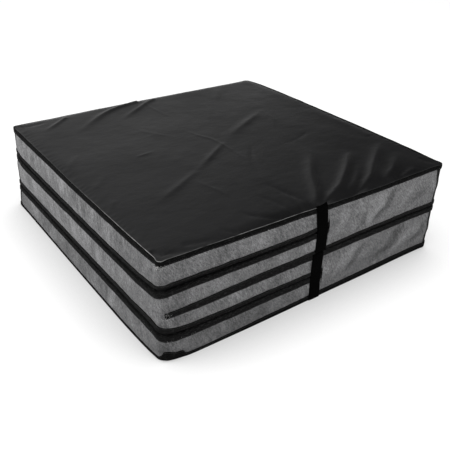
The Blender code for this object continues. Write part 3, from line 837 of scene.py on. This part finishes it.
def make_lining(name, t0, t1, k, side, finish):
    """The narrow cloth that joins two panels' sheets at a fold, inside the wall."""
    plane = level_plane(k)
    bend = -HINGE_GAP[side] + 1.0 * MM
    ts = run_of(t0, t1, 0.010)
    vertices, uvs = [], []
    for t in ts:
        flaps = {}
        for edge, panel, facing in (("upper", k + 1, 1), ("lower", k, -1)):
            flaps[edge] = [
                (d * MM - LEVEL_OUT[k](t), face_height(panel, edge, *plan(t, d * MM)) + facing * 0.35 * MM)
                for d in (10.0, 6.5, 4.2)
            ]
        turn = [(1.6, -1.7), (bend / MM + 0.5, -0.8), (bend / MM, 0), (bend / MM + 0.5, 0.8), (1.6, 1.7)]
        points = flaps["upper"] + [(d * MM, plane + z * MM) for d, z in turn] + flaps["lower"][::-1]
        for i, (depth, z) in enumerate(points):
            vertices.append((*plan(t, depth), z))
            uvs.append((length_at(t), i * 2.0 * MM))
    piece = collect(name, vertices, quads(len(ts), len(points)), finish, "binding_tape", uvs)
    thicken(piece, 0.5 * MM, 0.0)
    return piece


def tape_section(panel, edge, t, tall):
    """Points (depth, height) round a folded tape's section, starting at the wall side's free edge."""
    facing = 1 if edge == "upper" else -1
    top = (panel, edge) == (1, "upper")
    seam = seam_height(panel, edge, t)
    out_top = LEVEL_OUT[level_of(panel, edge)](t)
    thick = TAPE_THICKNESS
    reach = tall + wobble(t, panel * 2 + facing, 0.7 * MM, 30)
    outer, inner = [], []
    for share, puff in ((1.0, 0.25), (0.93, -0.2), (0.6, -0.35), (0.25, -0.25), (0.06, 0.0)):
        z = seam - facing * (reach * share - 1.5 * MM)
        out = wall_out(t, z) if share > 0.1 else wall_out(t, seam - facing * 1.0 * MM)
        if top and share <= 0.1:
            z = seam - 0.4 * MM
        outer.append((puff * MM - out, z))
        inner.append((thick - out, z if share < 1 else z + facing * 0.1 * MM))
    if top:
        over = OVER_TOP(t)
        share = over / (4.5 * MM)
        far = 1.4 * MM + over
        lies = top_height(*plan(t, far), t, far) - seam
        outer.append(((0.5 - 0.4 * share) * MM - out_top, seam + (0.25 + 1.6 * share) * MM))
        outer.append((far - out_top, seam + 0.4 * MM + (lies + 0.2 * MM) * share))
        inner.append(((1.5 - 1.0 * share) * MM - out_top, seam - (0.6 - 1.4 * share) * MM))
        inner.append((far + 0.4 * MM - out_top, seam - 0.2 * MM + (lies - 0.1 * MM) * share))
        return outer + inner[::-1]
    outer.append((0.7 * MM - out_top, seam + facing * 1.2 * MM))
    outer.append((2.0 * MM - out_top, seam + facing * 1.65 * MM))
    inner.append((1.9 * MM - out_top, seam + facing * 0.35 * MM))
    for d in (0.0038, 0.0060, FLANGE + wobble(t, panel + 20, 0.8 * MM, 25)):
        z = face_height(panel, edge, *plan(t, d))
        outer.append((d - out_top, z + facing * (thick * (0.75 if d > 0.0065 else 1.05))))
        inner.append((d - out_top, z + facing * 0.15 * MM))
    return [(depth, max(z, 0.0)) for depth, z in outer + inner[::-1]]


def make_tape(panel, edge, t0, t1, finish):
    """The folded tape over a seam. Over a whole turn it closes on itself."""
    heights = TAPE_TALL.get((panel, edge), USUAL_TAPE)
    closed = t1 - t0 > 4 - 1e-6
    vertices, uvs, widths = [], [], []
    ts = run_of(t0, t1, 0.006, 0.0025)
    if closed:
        ts = ts[:-1]
    for t in ts:
        section = tape_section(panel, edge, t, heights(t))
        travelled = 0.0
        for i, point in enumerate(section):
            if i:
                travelled += math.dist(point, section[i - 1])
            vertices.append((*plan(t, point[0]), point[1]))
            uvs.append((length_at(t), travelled))
        widths.append(travelled / 2)
    size, flip = len(section), edge == "lower"
    faces = quads(len(ts), size, True, closed, flip)
    if not closed:
        faces += end_caps(len(ts), size, flip)
    piece = collect(f"panel_{panel}_{edge}_tape", vertices, faces, finish, "binding_tape", uvs)
    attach(piece, f"panel_{panel}")
    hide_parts(f"panel_{panel}_{edge}_binding")


BAND_ROWS = 30
BAND_COLUMNS = 9
BAND_END = {1: ((0.5, 1.0), (1.7, 1.4), (3.2, 1.1)), 3: ((1.4, 1.9), (4.0, 2.0), (7.5, 1.6))}


def make_band(name, upper_panel, finish):
    """Webbing over the end of a pair's slit, from the upper panel's top to the lower one's bottom."""
    lower_panel = upper_panel + 1
    centre = BAND_X[upper_panel]
    low_z = PANEL_BOTTOM[lower_panel] + (0.3 if lower_panel == 4 else 2.0) * MM
    hinge = level_plane(upper_panel)
    high_z = seam_height(upper_panel, "upper", t_front(centre)) + 0.6 * MM
    vertices, uvs = [], []
    for j in range(BAND_ROWS):
        v = j / (BAND_ROWS - 1)
        z = low_z + (high_z - low_z) * v
        for i in range(BAND_COLUMNS):
            u = -1 + 2 * i / (BAND_COLUMNS - 1)
            skew = 0.6 * MM * math.sin(v * 4 + upper_panel) + 0.15 * MM * math.sin(v * 23)
            x = centre + u * (BAND_WIDTH / 2 + 0.15 * MM * math.sin(v * 31 + u)) + skew
            lift = 0.25 * MM * (1 - u * u) + wobble(v, upper_panel + 3, 0.3 * MM, 8)
            most = 1.78 * MM + 5 * MM * smooth((abs(z - hinge) - 0.022) / 0.020)
            depth = max(-wall_out(t_front(x), z) - 1.6 * MM - lift, -most)
            vertices.append((x, plan(t_front(x), depth)[1], z))
            uvs.append((x, z))
    for inward, lift in BAND_END[upper_panel]:
        for x, _, z in vertices[(BAND_ROWS - 1) * BAND_COLUMNS:BAND_ROWS * BAND_COLUMNS]:
            t = t_front(x)
            place = plan(t, inward * MM)
            surface = face_height(upper_panel, "upper", *place)
            if upper_panel == 1:
                surface = max(surface, seam_height(1, "upper", t) + LIP)
            vertices.append((x, place[1] - LEVEL_OUT[upper_panel - 1](t), surface + lift * MM))
            uvs.append((x, z + inward * MM))
    faces = quads(BAND_ROWS + len(BAND_END[upper_panel]), BAND_COLUMNS)
    piece = collect(name, vertices, faces, finish, "webbing", uvs)
    thicken(piece, 1.1 * MM)
    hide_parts(f"panel_{upper_panel}_band", f"panel_{lower_panel}_band")
    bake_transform(piece)


HIDDEN_ZIP_EDGE = 2.5 * MM
COIL_PITCH = 3.0 * MM
COIL_STEPS = 4


def make_zip(panel, finish):
    """The zip's tape and its closed coil: two rows of loops that lock in the middle.

    The top panel's zip tape ends sooner, under the seam's tape, which lies lower at the back.
    """
    count = int(ZIP_LENGTH / COIL_PITCH) * COIL_STEPS
    middle = zip_middle(panel)
    edge = ZIP_TAPE_HEIGHT / 2
    upper_edge = edge - (HIDDEN_ZIP_EDGE if panel == 1 else 0.0)
    vertices, uvs = [], []
    for i in range(count + 1):
        x = -ZIP_LENGTH / 2 + ZIP_LENGTH * i / count
        ends = smooth((ZIP_LENGTH / 2 - abs(x) - 5 * MM) / (2 * MM))
        left, right = (
            COIL_RISE * ends * (0.55 + 0.45 * math.cos(2 * math.pi * (x / COIL_PITCH + shift)) ** 2)
            for shift in (0, 0.25)
        )
        section = [
            (-edge, 0), (-edge * 0.6, 0.05 * MM), (-COIL_HALF, 0), (-COIL_HALF + 0.4 * MM, left),
            (-0.7 * MM, left), (0, 0.35 * left), (0.7 * MM, right),
            (COIL_HALF - 0.4 * MM, right), (COIL_HALF, 0), (edge * 0.6, 0.05 * MM), (upper_edge, 0),
            (upper_edge, -ZIP_TAPE_THICKNESS), (-edge, -ZIP_TAPE_THICKNESS),
        ]
        for rise, out in section:
            _, y = plan(t_back(0.0), ZIP_TAPE_DEPTH - out)
            vertices.append((x, y, middle + rise))
            uvs.append((x, rise + (0.1 if out < -0.1 * MM else 0.0)))
    lines, size = count + 1, len(section)
    faces = quads(lines, size, True) + end_caps(lines, size)
    piece = collect(f"panel_{panel}_zip_strip", vertices, faces, finish, "zip_tape", uvs)
    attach(piece, f"panel_{panel}")
    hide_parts(f"panel_{panel}_zip")


THREAD_POINTS = 5
THREAD_SECTION = ((1, 0), (-0.5, 0.87), (-0.5, -0.87))


def make_threads(name, panel, finish, seed, runs):
    """Short loose thread ends that stand out of a seam. Each run is t0, t1, z0, z1, count, length."""
    draw = random.Random(seed)
    sides = len(THREAD_SECTION)
    vertices, faces = [], []
    for t0, t1, z0, z1, count, length in runs:
        for _ in range(count):
            t = draw.uniform(t0, t1)
            z = draw.uniform(z0, z1)
            point = Vector((*plan(t, GUSSET_DEPTH - wall_out(t, z) - 0.6 * MM), z))
            n = normal_at(t)
            side = Vector((-n[1], n[0], 0.0))
            way = Vector((n[0], n[1], 0.0)) * draw.uniform(0.15, 0.8) + side * draw.uniform(-1, 1)
            way.z = draw.uniform(-1.2, 0.5)
            curl = Vector((draw.uniform(-1, 1), draw.uniform(-1, 1), draw.uniform(-1, 1)))
            size = draw.uniform(0.16, 0.30) * MM
            step = length * draw.uniform(0.5, 1.2) * MM / 4
            tube = quads(THREAD_POINTS, sides, True) + end_caps(THREAD_POINTS, sides)
            faces += shifted(tube, len(vertices))
            for i in range(THREAD_POINTS):
                way = (way + curl * 0.35).normalized()
                across = way.cross(Vector((0.3, 0.2, 1.0))).normalized()
                other = way.cross(across)
                taper = size * (1.0 if i < THREAD_POINTS - 1 else 0.4)
                vertices += [tuple(point + (across * c + other * s) * taper) for c, s in THREAD_SECTION]
                point = point + way * step
    piece = collect(name, vertices, faces, finish, "binding_tape")
    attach(piece, f"panel_{panel}")


# Materials


class Nodes:
    """A node tree, with short names for the nodes used here. Each gives back its output."""

    def __init__(self, tree):
        self.tree = tree

    def add(self, kind, inputs=(), **settings):
        """Adds a node, sets or links its inputs, and returns all its outputs."""
        made = self.tree.nodes.new("ShaderNode" + kind)
        for key, value in settings.items():
            setattr(made, key, value)
        for socket, value in dict(inputs).items():
            if isinstance(value, bpy.types.NodeSocket):
                self.tree.links.new(value, made.inputs[socket])
            else:
                made.inputs[socket].default_value = value
        return made.outputs

    def math(self, operation, *values):
        return self.add("Math", enumerate(values), operation=operation)[0]

    def times(self, a, b):
        return self.math("MULTIPLY", a, b)

    def plus(self, a, b):
        return self.math("ADD", a, b)

    def waves(self, value, length):
        return self.math("SINE", self.times(value, 2 * math.pi / length))

    def between(self, value, low, high, to_low=0.0, to_high=1.0):
        inputs = enumerate((value, low, high, to_low, to_high))
        return self.add("MapRange", inputs, interpolation_type="SMOOTHSTEP")[0]

    def mixed(self, share, a, b):
        a, b = ((*colour, 1.0) if isinstance(colour, tuple) else colour for colour in (a, b))
        return self.add("Mix", {0: share, 6: a, 7: b}, data_type="RGBA")[2]

    def scaled(self, coords, *scale):
        return self.add("Mapping", {0: coords, 3: scale})[0]

    def slanted(self, coords, turn, stretch):
        inputs = {0: coords, 2: (0, 0, turn), 3: (1.0, stretch, 1.0)}
        return self.add("Mapping", inputs, vector_type="TEXTURE")[0]

    def noise(self, coords, scale, detail=2.0, roughness=0.5):
        inputs = {"Vector": coords, "Scale": scale, "Detail": detail, "Roughness": roughness}
        return self.add("TexNoise", inputs)[0]

    def cells(self, coords, scale, randomness=1.0):
        return self.add("TexVoronoi", {"Vector": coords, "Scale": scale, "Randomness": randomness})[0]

    def mark(self, name):
        return self.add("Attribute", attribute_name=name)["Fac"]

    def place(self):
        return self.add("TexCoord")["Object"]

    def along(self):
        return self.add("TexCoord")["UV"]

    def parts(self, coords):
        return self.add("SeparateXYZ", {0: coords})


class Finish(Nodes):
    """A material and the nodes behind it."""

    def __init__(self, name, roughness, specular=0.5, metallic=0.0):
        self.material = bpy.data.materials.new(name)
        self.material.use_nodes = True
        super().__init__(self.material.node_tree)
        self.shader = self.tree.nodes["Principled BSDF"].inputs
        self.shader["Roughness"].default_value = roughness
        self.shader["Specular IOR Level"].default_value = specular
        self.shader["Metallic"].default_value = metallic

    def made(self, colour, height, distance, strength, roughness=None):
        bump = self.add("Bump", {"Strength": strength, "Distance": distance, "Height": height})[0]
        self.tree.links.new(colour, self.shader["Base Color"])
        self.tree.links.new(bump, self.shader["Normal"])
        if roughness is not None:
            self.tree.links.new(roughness, self.shader["Roughness"])
        return self.material


def grey(value):
    return (value, value, value)


def coated_cloth():
    """Black coated cloth: fine leather grain, soft crumples, a satin sheen and a painted highlight along the
    cut edge.
    """
    m = Finish("coated_cloth", 0.40, 0.27)
    place = m.place()
    crumple = m.noise(m.scaled(place, 1.0, 1.4, 1.0), 22.0, 5.0, 0.55)
    drift = m.noise(place, 5.0, 3.0)
    dust = m.noise(place, 320.0, 2.0, 0.7)
    colour = m.mixed(m.between(drift, 0.35, 0.65), (0.0095, 0.0095, 0.010), (0.0135, 0.0135, 0.014))
    colour = m.mixed(m.between(dust, 0.68, 0.8, 0.0, 0.25), colour, (0.09, 0.09, 0.088))
    # painted highlight: the cut edge turns light grey
    colour = m.mixed(m.mark("painted_edge_highlight"), colour, (0.42, 0.42, 0.41))
    height = m.plus(m.times(crumple, 2.2), m.times(m.cells(place, 900.0), 0.06))
    return m.made(colour, height, 1.0 * MM, 0.5, m.between(drift, 0.3, 0.7, 0.34, 0.44))


def net_cloth():
    """Grey knitted mesh: rows of small holes, upright threads, fine pleats and a little fluff."""
    m = Finish("net_cloth", 0.92, 0.2)
    along = m.along()
    upright = m.noise(m.scaled(along, 1.0, 0.25, 1.0), 480.0, 3.0, 0.75)
    slanting = m.noise(m.slanted(along, -0.75, 4.5), 430.0, 3.0, 0.7)
    threads = m.times(m.plus(upright, slanting), 0.5)
    pleated = m.between(m.noise(along, 9.0, 2.0), 0.40, 0.60)
    pleats = m.math("SUBTRACT", m.noise(m.slanted(along, -0.35, 6.0), 120.0, 2.0, 0.6), 0.5)
    pleats = m.times(pleats, pleated)
    fluff = m.noise(along, 700.0, 2.0, 0.6)
    patches = m.noise(m.scaled(along, 1.0, 0.6, 1.0), 38.0, 3.0, 0.6)
    soil = m.noise(m.scaled(along, 1.0, 1.6, 1.0), 9.0, 3.0, 0.6)
    open_part = m.between(m.cells(m.scaled(along, 1.0, 0.8, 1.0), 470.0, 0.3), 0.08, 0.42)
    tone = m.between(threads, 0.32, 0.68, 0.45, 1.55)
    for share in (
        m.between(open_part, 0.0, 1.0, 0.42, 1.18),
        m.between(fluff, 0.3, 0.7, 0.75, 1.25),
        m.between(patches, 0.3, 0.7, 0.92, 1.08),
        # painted light and shade that follow the pleats' height
        m.plus(1.0, m.times(pleats, 1.5)),
        m.between(soil, 0.3, 0.7, 0.84, 1.10),
        # painted shade in the folds' hollows, painted light on their crests
        m.between(m.mark("fold"), 0.0, 1.0, 0.60, 1.36),
        # painted light and shade by wall and level
        m.mark("painted_wall_light"),
        0.54,
        # painted shade: the mesh darkens to 5% on the rounded corners
        m.between(m.mark("shade"), 0.0, 1.0, 1.0, 0.05),
    ):
        tone = m.times(tone, share)
    colour = m.mixed(tone, grey(0.0), (0.33, 0.33, 0.335))
    return m.made(colour, m.plus(m.plus(open_part, threads), m.times(pleats, 4.0)), 0.35 * MM, 0.8)


def woven_tape(name, dark, light, rub, stitch_row=2.3 * MM):
    """Black woven tape with short slanting weave and a row of stitches along its free edge."""
    m = Finish(name, 0.9, 0.04)
    along = m.along()
    x, y, _ = m.parts(along)
    ribs = m.waves(m.plus(x, m.times(y, 0.7)), 1.1 * MM)
    weave = m.between(m.times(ribs, m.waves(y, 0.8 * MM)), -1.0, 1.0)
    lint = m.noise(along, 650.0, 2.0, 0.7)
    rubbed = m.noise(m.scaled(along, 0.6, 1.6, 1.0), 210.0, 3.0, 0.7)
    dash = m.math("GREATER_THAN", m.math("FRACT", m.math("DIVIDE", x, 4.2 * MM)), 0.35)
    off = m.math("ABSOLUTE", m.math("SUBTRACT", y, stitch_row))
    thread = m.times(dash, m.between(off, 0.25 * MM, 0.5 * MM, 1.0, 0.0))
    colour = m.mixed(m.times(weave, lint), grey(dark), grey(light))
    colour = m.mixed(m.between(rubbed, 0.48, 0.72, 0.0, 0.8), colour, grey(rub))
    colour = m.mixed(m.between(lint, 0.60, 0.74, 0.0, 0.45), colour, grey(0.10))
    colour = m.mixed(m.times(thread, 0.6), colour, grey(0.06))
    return m.made(colour, m.plus(m.times(weave, 0.35), thread), 0.3 * MM, 0.7)


def strap_webbing():
    """Black webbing with upright ribs and a chevron weave."""
    m = Finish("strap_webbing", 0.95, 0.02)
    along = m.along()
    x, y, _ = m.parts(along)
    ribs = m.math("ABSOLUTE", m.waves(x, 3.6 * MM))
    rows = m.waves(m.plus(y, m.math("PINGPONG", x, 3.6 * MM)), 1.4 * MM)
    weave = m.times(ribs, m.between(rows, -1.0, 1.0, 0.5, 1.0))
    lint = m.noise(along, 500.0, 2.0, 0.7)
    colour = m.mixed(weave, grey(0.0004), grey(0.0020))
    colour = m.mixed(m.between(lint, 0.66, 0.8, 0.0, 0.3), colour, grey(0.03))
    return m.made(colour, weave, 0.45 * MM, 0.9)


def foam(name, light, dark, cells):
    m = Finish(name, 0.95, 0.1)
    place = m.place()
    pores = m.cells(place, cells)
    colour = m.mixed(m.between(pores, 0.05, 0.5), dark, light)
    colour = m.mixed(m.between(m.noise(place, 14.0, 3.0), 0.4, 0.7, 0.0, 0.35), colour, dark)
    return m.made(colour, pores, 0.6 * MM, 0.8)


def zip_cloth():
    """Black herringbone tape, with the plastic coil a little glossier down its middle."""
    m = Finish("zip_cloth", 0.7, 0.3)
    x, y, _ = m.parts(m.along())
    rows = m.waves(m.plus(x, m.math("PINGPONG", y, 1.2 * MM)), 0.9 * MM)
    coil = m.between(m.math("ABSOLUTE", y), 2.3 * MM, 2.7 * MM, 1.0, 0.0)
    colour = m.mixed(m.between(rows, -1.0, 1.0), grey(0.010), grey(0.022))
    colour = m.mixed(coil, colour, (0.018, 0.018, 0.019))
    return m.made(colour, rows, 0.25 * MM, 0.5, m.between(coil, 0.0, 1.0, 0.85, 0.35))


def cast_metal():
    """Grey die-cast zinc, slightly mottled and rubbed bright in places."""
    m = Finish("cast_metal", 0.38, metallic=1.0)
    place = m.place()
    mottle = m.noise(place, 400.0, 4.0, 0.65)
    scratch = m.noise(m.scaled(place, 0.25, 1.0, 3.0), 1500.0, 2.0, 0.6)
    colour = m.mixed(m.between(mottle, 0.35, 0.65), (0.26, 0.26, 0.27), (0.38, 0.38, 0.39))
    return m.made(colour, scratch, 0.1 * MM, 0.3, m.between(scratch, 0.3, 0.7, 0.28, 0.5))


def loose_thread(name, dark, light):
    """Matt fluffy thread, uneven in tone."""
    m = Finish(name, 0.95, 0.1)
    place = m.place()
    shade = m.between(m.noise(place, 500.0, 3.0, 0.7), 0.3, 0.7)
    return m.made(m.mixed(shade, dark, light), m.noise(place, 2500.0, 2.0, 0.6), 0.1 * MM, 0.5)


vinyl = coated_cloth()
pale_thread = loose_thread("pale_thread", grey(0.25), (0.75, 0.75, 0.74))
net = net_cloth()
tape_cloth = woven_tape("binding_cloth", 0.0025, 0.020, 0.035)
outer_tape = woven_tape("outer_binding_cloth", 0.0012, 0.009, 0.020)
webbing = strap_webbing()
foams = {
    "firm": foam("firm_foam", (0.30, 0.32, 0.35), (0.20, 0.215, 0.24), 700.0),
    "soft": foam("soft_foam", (0.82, 0.78, 0.62), (0.60, 0.55, 0.42), 450.0),
}
zip_finish = zip_cloth()
metal = cast_metal()

# The pieces. A pair's slit in the front ends under its band, and the folds go on to the right of it.

for panel in (1, 2, 3, 4):
    for edge in ("upper", "lower"):
        make_cover(panel, edge, vinyl)
    make_pads(panel, foams)
    make_zip(panel, zip_finish)
    for part in ("slider", "pull"):
        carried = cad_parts[f"panel_{panel}_{part}"]
        carried.data.materials.clear()
        carried.data.materials.append(metal)

SLIT_END = {upper: t_front(BAND_X[upper] + BAND_WIDTH / 2 + 4 * MM) for upper in (1, 3)}
SLIT = {1: SLIT_END[1], 2: SLIT_END[1], 3: SLIT_END[3], 4: SLIT_END[3]}
FRONT_START, FRONT_END = t_of(FRONT, -1.0), t_of(FRONT, 1.0)
LEFT_START, LEFT_STOP, LEFT_END = t_of(LEFT, -1.0), t_of(LEFT, 1.0), t_of(LEFT, 1.0, 1.0)
BACK_START = t_of(BACK, -1.0)
RIGHT_END = t_of(RIGHT, 1.0)
FOLD_ZONE = 8 * MM
LINING_ZONE = 1.0 * MM


def bend_at(wall, lining):
    """Bakes the placement of a fold's wall and lining into their meshes."""
    for piece, zone in ((wall, FOLD_ZONE), (lining, LINING_ZONE)):
        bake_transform(piece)


def corner_walls(upper, places, low, high, **look):
    """A fold's wall past its hinge, split between the panel above and the one below."""
    for panel, half in ((upper, "upper"), (upper + 1, "lower")):
        for place, t0, t1 in places:
            name = f"panel_{panel}_{place}_corner_mesh"
            corner = make_wall(name, t0, t1, low, high, net, [], half=half, **look)
            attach(corner, f"panel_{panel}")


for upper, label in ((1, "upper"), (3, "lower")):
    low, high = (upper + 1, "lower"), (upper, "upper")
    look = dict(seed=11 + upper, slant=0.075, size=2.2 * MM, hinge=(level_plane(upper), FRONT))
    nodes = [f"panel_{panel}_front_fold_gusset" for panel in (upper, upper + 1)]
    wall = make_wall(f"{label}_front_fold_mesh", FRONT_START, SLIT[upper], low, high, net, nodes, **look)
    corner_walls(upper, [("front", RIGHT_END - 4, FRONT_START)], low, high, **look)
    lining = make_lining(f"{label}_front_lining", FRONT_START, SLIT[upper], upper, FRONT, tape_cloth)
    bend_at(wall, lining)

low, high = (3, "lower"), (2, "upper")
look = dict(seed=31, slant=0.01, hinge=(level_plane(2), LEFT))
nodes = ["panel_2_side_fold_gusset", "panel_3_side_fold_gusset"]
wall = make_wall("side_fold_mesh", LEFT_START, LEFT_STOP, low, high, net, nodes, **look)
places = [("left", FRONT_END, LEFT_START), ("rear", LEFT_STOP, LEFT_END)]
corner_walls(2, places, low, high, **look)
lining = make_lining("side_lining", LEFT_START, SIDE_LINING_END, 2, LEFT, tape_cloth)
bend_at(wall, lining)

for panel, name, t0, t1, look in (
    (1, "", SLIT[1], RIGHT_END, dict(seed=42, zipped=1)),
    (4, "", SLIT[4], RIGHT_END, dict(seed=45, zipped=4)),
    (2, "front_", SLIT[2], FRONT_END, dict(seed=53, size=0.5 * MM)),
    (2, "rear_", BACK_START, RIGHT_END, dict(seed=63, size=0.5 * MM, zipped=2)),
    (3, "front_", SLIT[3], FRONT_END, dict(seed=54, size=0.5 * MM)),
    (3, "rear_", BACK_START, RIGHT_END, dict(seed=64, size=0.5 * MM, zipped=3)),
):
    low, high = (panel, "lower"), (panel, "upper")
    nodes = [f"panel_{panel}_{name}gusset"]
    wall = make_wall(f"panel_{panel}_{name}mesh", t0, t1, low, high, net, nodes, **look)
    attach(wall, f"panel_{panel}")

make_tape(1, "upper", 0.0, 4.0, outer_tape)
make_tape(4, "lower", 0.0, 4.0, outer_tape)
for panel, edge in ((1, "lower"), (2, "upper"), (3, "lower"), (4, "upper")):
    make_tape(panel, edge, SLIT[panel], RIGHT_END, tape_cloth)
for panel, edge in ((2, "lower"), (3, "upper")):
    make_tape(panel, edge, BACK_START, FRONT_END + 4.010, tape_cloth)
make_band("upper_band", 1, webbing)
make_band("lower_band", 3, webbing)

SEAM_TOP = TOP_RIM(1.0)
make_threads("panel_1_frayed_seam", 1, pale_thread, 5, [
    (0.985, 1.016, SEAM_TOP - 14 * MM, SEAM_TOP - 8.5 * MM, 70, 6.0),
    (0.62, 0.985, SEAM_TOP - 12.5 * MM, SEAM_TOP - 10 * MM, 60, 3.0),
    (1.016, 1.25, SEAM_TOP - 15 * MM, SEAM_TOP - 12 * MM, 30, 3.0),
])
make_threads("panel_4_frayed_seam", 4, pale_thread, 7, [
    (0.90, 0.985, level_height(3, 0.95) - 13.5 * MM, level_height(3, 0.95) - 10 * MM, 26, 3.0),
    (1.02, 1.12, level_height(3, 1.06) - 13.5 * MM, level_height(3, 1.06) - 10.5 * MM, 18, 3.0),
])
cut_z = level_height(2, 0.985)
make_threads("panel_3_frayed_end", 3, pale_thread, 6, [
    (0.972, 0.990, cut_z - 9 * MM, cut_z - 1 * MM, 26, 5.0),
])
make_threads("panel_2_frayed_end", 2, pale_thread, 8, [
    (0.972, 0.988, cut_z + 1 * MM, cut_z + 5 * MM, 16, 4.0),
])

# Camera, at the photograph's angle
LENS_SHARE = 1.36839
SENSOR = 36.0
CLOSER = 0.979
EYE = Vector((-0.7959, -1.1377, 0.8152)) * CLOSER
TURN = Vector((2.03356577, -0.63064719, 0.39398088))
to_camera = Quaternion(TURN.normalized(), TURN.length).to_matrix()
flip = Matrix(((1, 0, 0), (0, -1, 0), (0, 0, -1)))
camera_data = bpy.data.cameras.new("camera")
camera_data.sensor_width = SENSOR
camera_data.lens = SENSOR * LENS_SHARE
camera = bpy.data.objects.new("camera", camera_data)
bpy.context.scene.collection.objects.link(camera)
camera.matrix_world = Matrix.Translation(EYE) @ (flip @ to_camera).transposed().to_4x4()
bpy.context.scene.camera = camera

# Floor, world and lamps
FLOOR_REACH = 12.0
FLOOR_GAP = 0.2 * MM
FLOOR_TONE = 0.40
FLOOR_SHADE_REACH = 0.18
WINDOW_SIDE = (-0.17, 0.985, 0.0)
WORLD_LIGHT = 0.50
WHITE = (1, 1, 1, 1)
floor_mesh = bpy.data.meshes.new("floor")
corners = [(x * FLOOR_REACH, y * FLOOR_REACH, 0) for x, y in ((-1, -1), (1, -1), (1, 1), (-1, 1))]
floor_mesh.from_pydata(corners, [], [[0, 1, 2, 3]])
floor = bpy.data.objects.new("floor", floor_mesh)
floor.location.z = -FLOOR_GAP
bpy.context.scene.collection.objects.link(floor)


def seen_rays(m):
    """1 for what the camera sees, straight, in a reflection or through glass."""
    path = m.add("LightPath")
    straight = m.math("MAXIMUM", path["Is Camera Ray"], path["Is Glossy Ray"])
    return m.math("MAXIMUM", straight, path["Is Transmission Ray"])


floor_finish = bpy.data.materials.new("floor")
floor_finish.use_nodes = True
m = Nodes(floor_finish.node_tree)
m.tree.nodes.clear()
lit = m.add("BsdfDiffuse", {"Color": (*grey(FLOOR_TONE), 1)})[0]
# Painted shadow: the floor's white glow is dimmed by ambient occlusion around the mat, a contact shadow
# painted into the glow
hidden = m.add("AmbientOcclusion", {"Distance": FLOOR_SHADE_REACH}, samples=16)["AO"]
glow_with_painted_shadow = m.between(hidden, 0.38, 1.0, 0.40, 0.78)
glow = m.add("Emission", {"Color": WHITE, "Strength": glow_with_painted_shadow})[0]
both = m.add("AddShader", {0: lit, 1: glow})[0]
shown = m.add("MixShader", {0: seen_rays(m), 1: lit, 2: both})[0]
m.add("OutputMaterial", {"Surface": shown})
floor_mesh.materials.append(floor_finish)

world = bpy.data.worlds.new("world")
bpy.context.scene.world = world
world.use_nodes = True
m = Nodes(world.node_tree)
m.tree.nodes.clear()
direction = m.add("TexCoord")["Generated"]
height = m.parts(direction)[2]
leaning = m.add("VectorMath", {0: direction, 1: WINDOW_SIDE}, operation="DOT_PRODUCT")["Value"]
window = m.between(m.math("ABSOLUTE", leaning), 0.385, 0.765, 0.01, 0.46)
upper = m.between(height, 0.02, 0.10)
strength = m.plus(m.times(window, upper), m.math("SUBTRACT", 1.0, upper))
strength = m.math("MAXIMUM", strength, m.add("LightPath")["Is Camera Ray"])
seen = m.add("Background", {"Color": WHITE, "Strength": strength})[0]
light = m.add("Background", {"Color": WHITE, "Strength": WORLD_LIGHT})[0]
m.add("OutputWorld", {"Surface": m.add("MixShader", {0: seen_rays(m), 1: light, 2: seen})[0]})


def lamp(name, place, target, size, power):
    data = bpy.data.lights.new(name, "AREA")
    data.shape = "SQUARE"
    data.size = size
    data.energy = power
    thing = bpy.data.objects.new(name, data)
    thing.location = place
    thing.rotation_mode = "QUATERNION"
    thing.rotation_quaternion = (Vector(target) - Vector(place)).to_track_quat("-Z", "Y")
    bpy.context.scene.collection.objects.link(thing)


lamp("key", place=(-2.8, 0.9, 1.6), target=(0, 0, 0.15), size=2.4, power=73)
lamp("fill", place=(0.3, -2.4, 1.2), target=(0, 0, 0.1), size=1.4, power=22)

scene = bpy.context.scene
scene.view_settings.view_transform = "Standard"
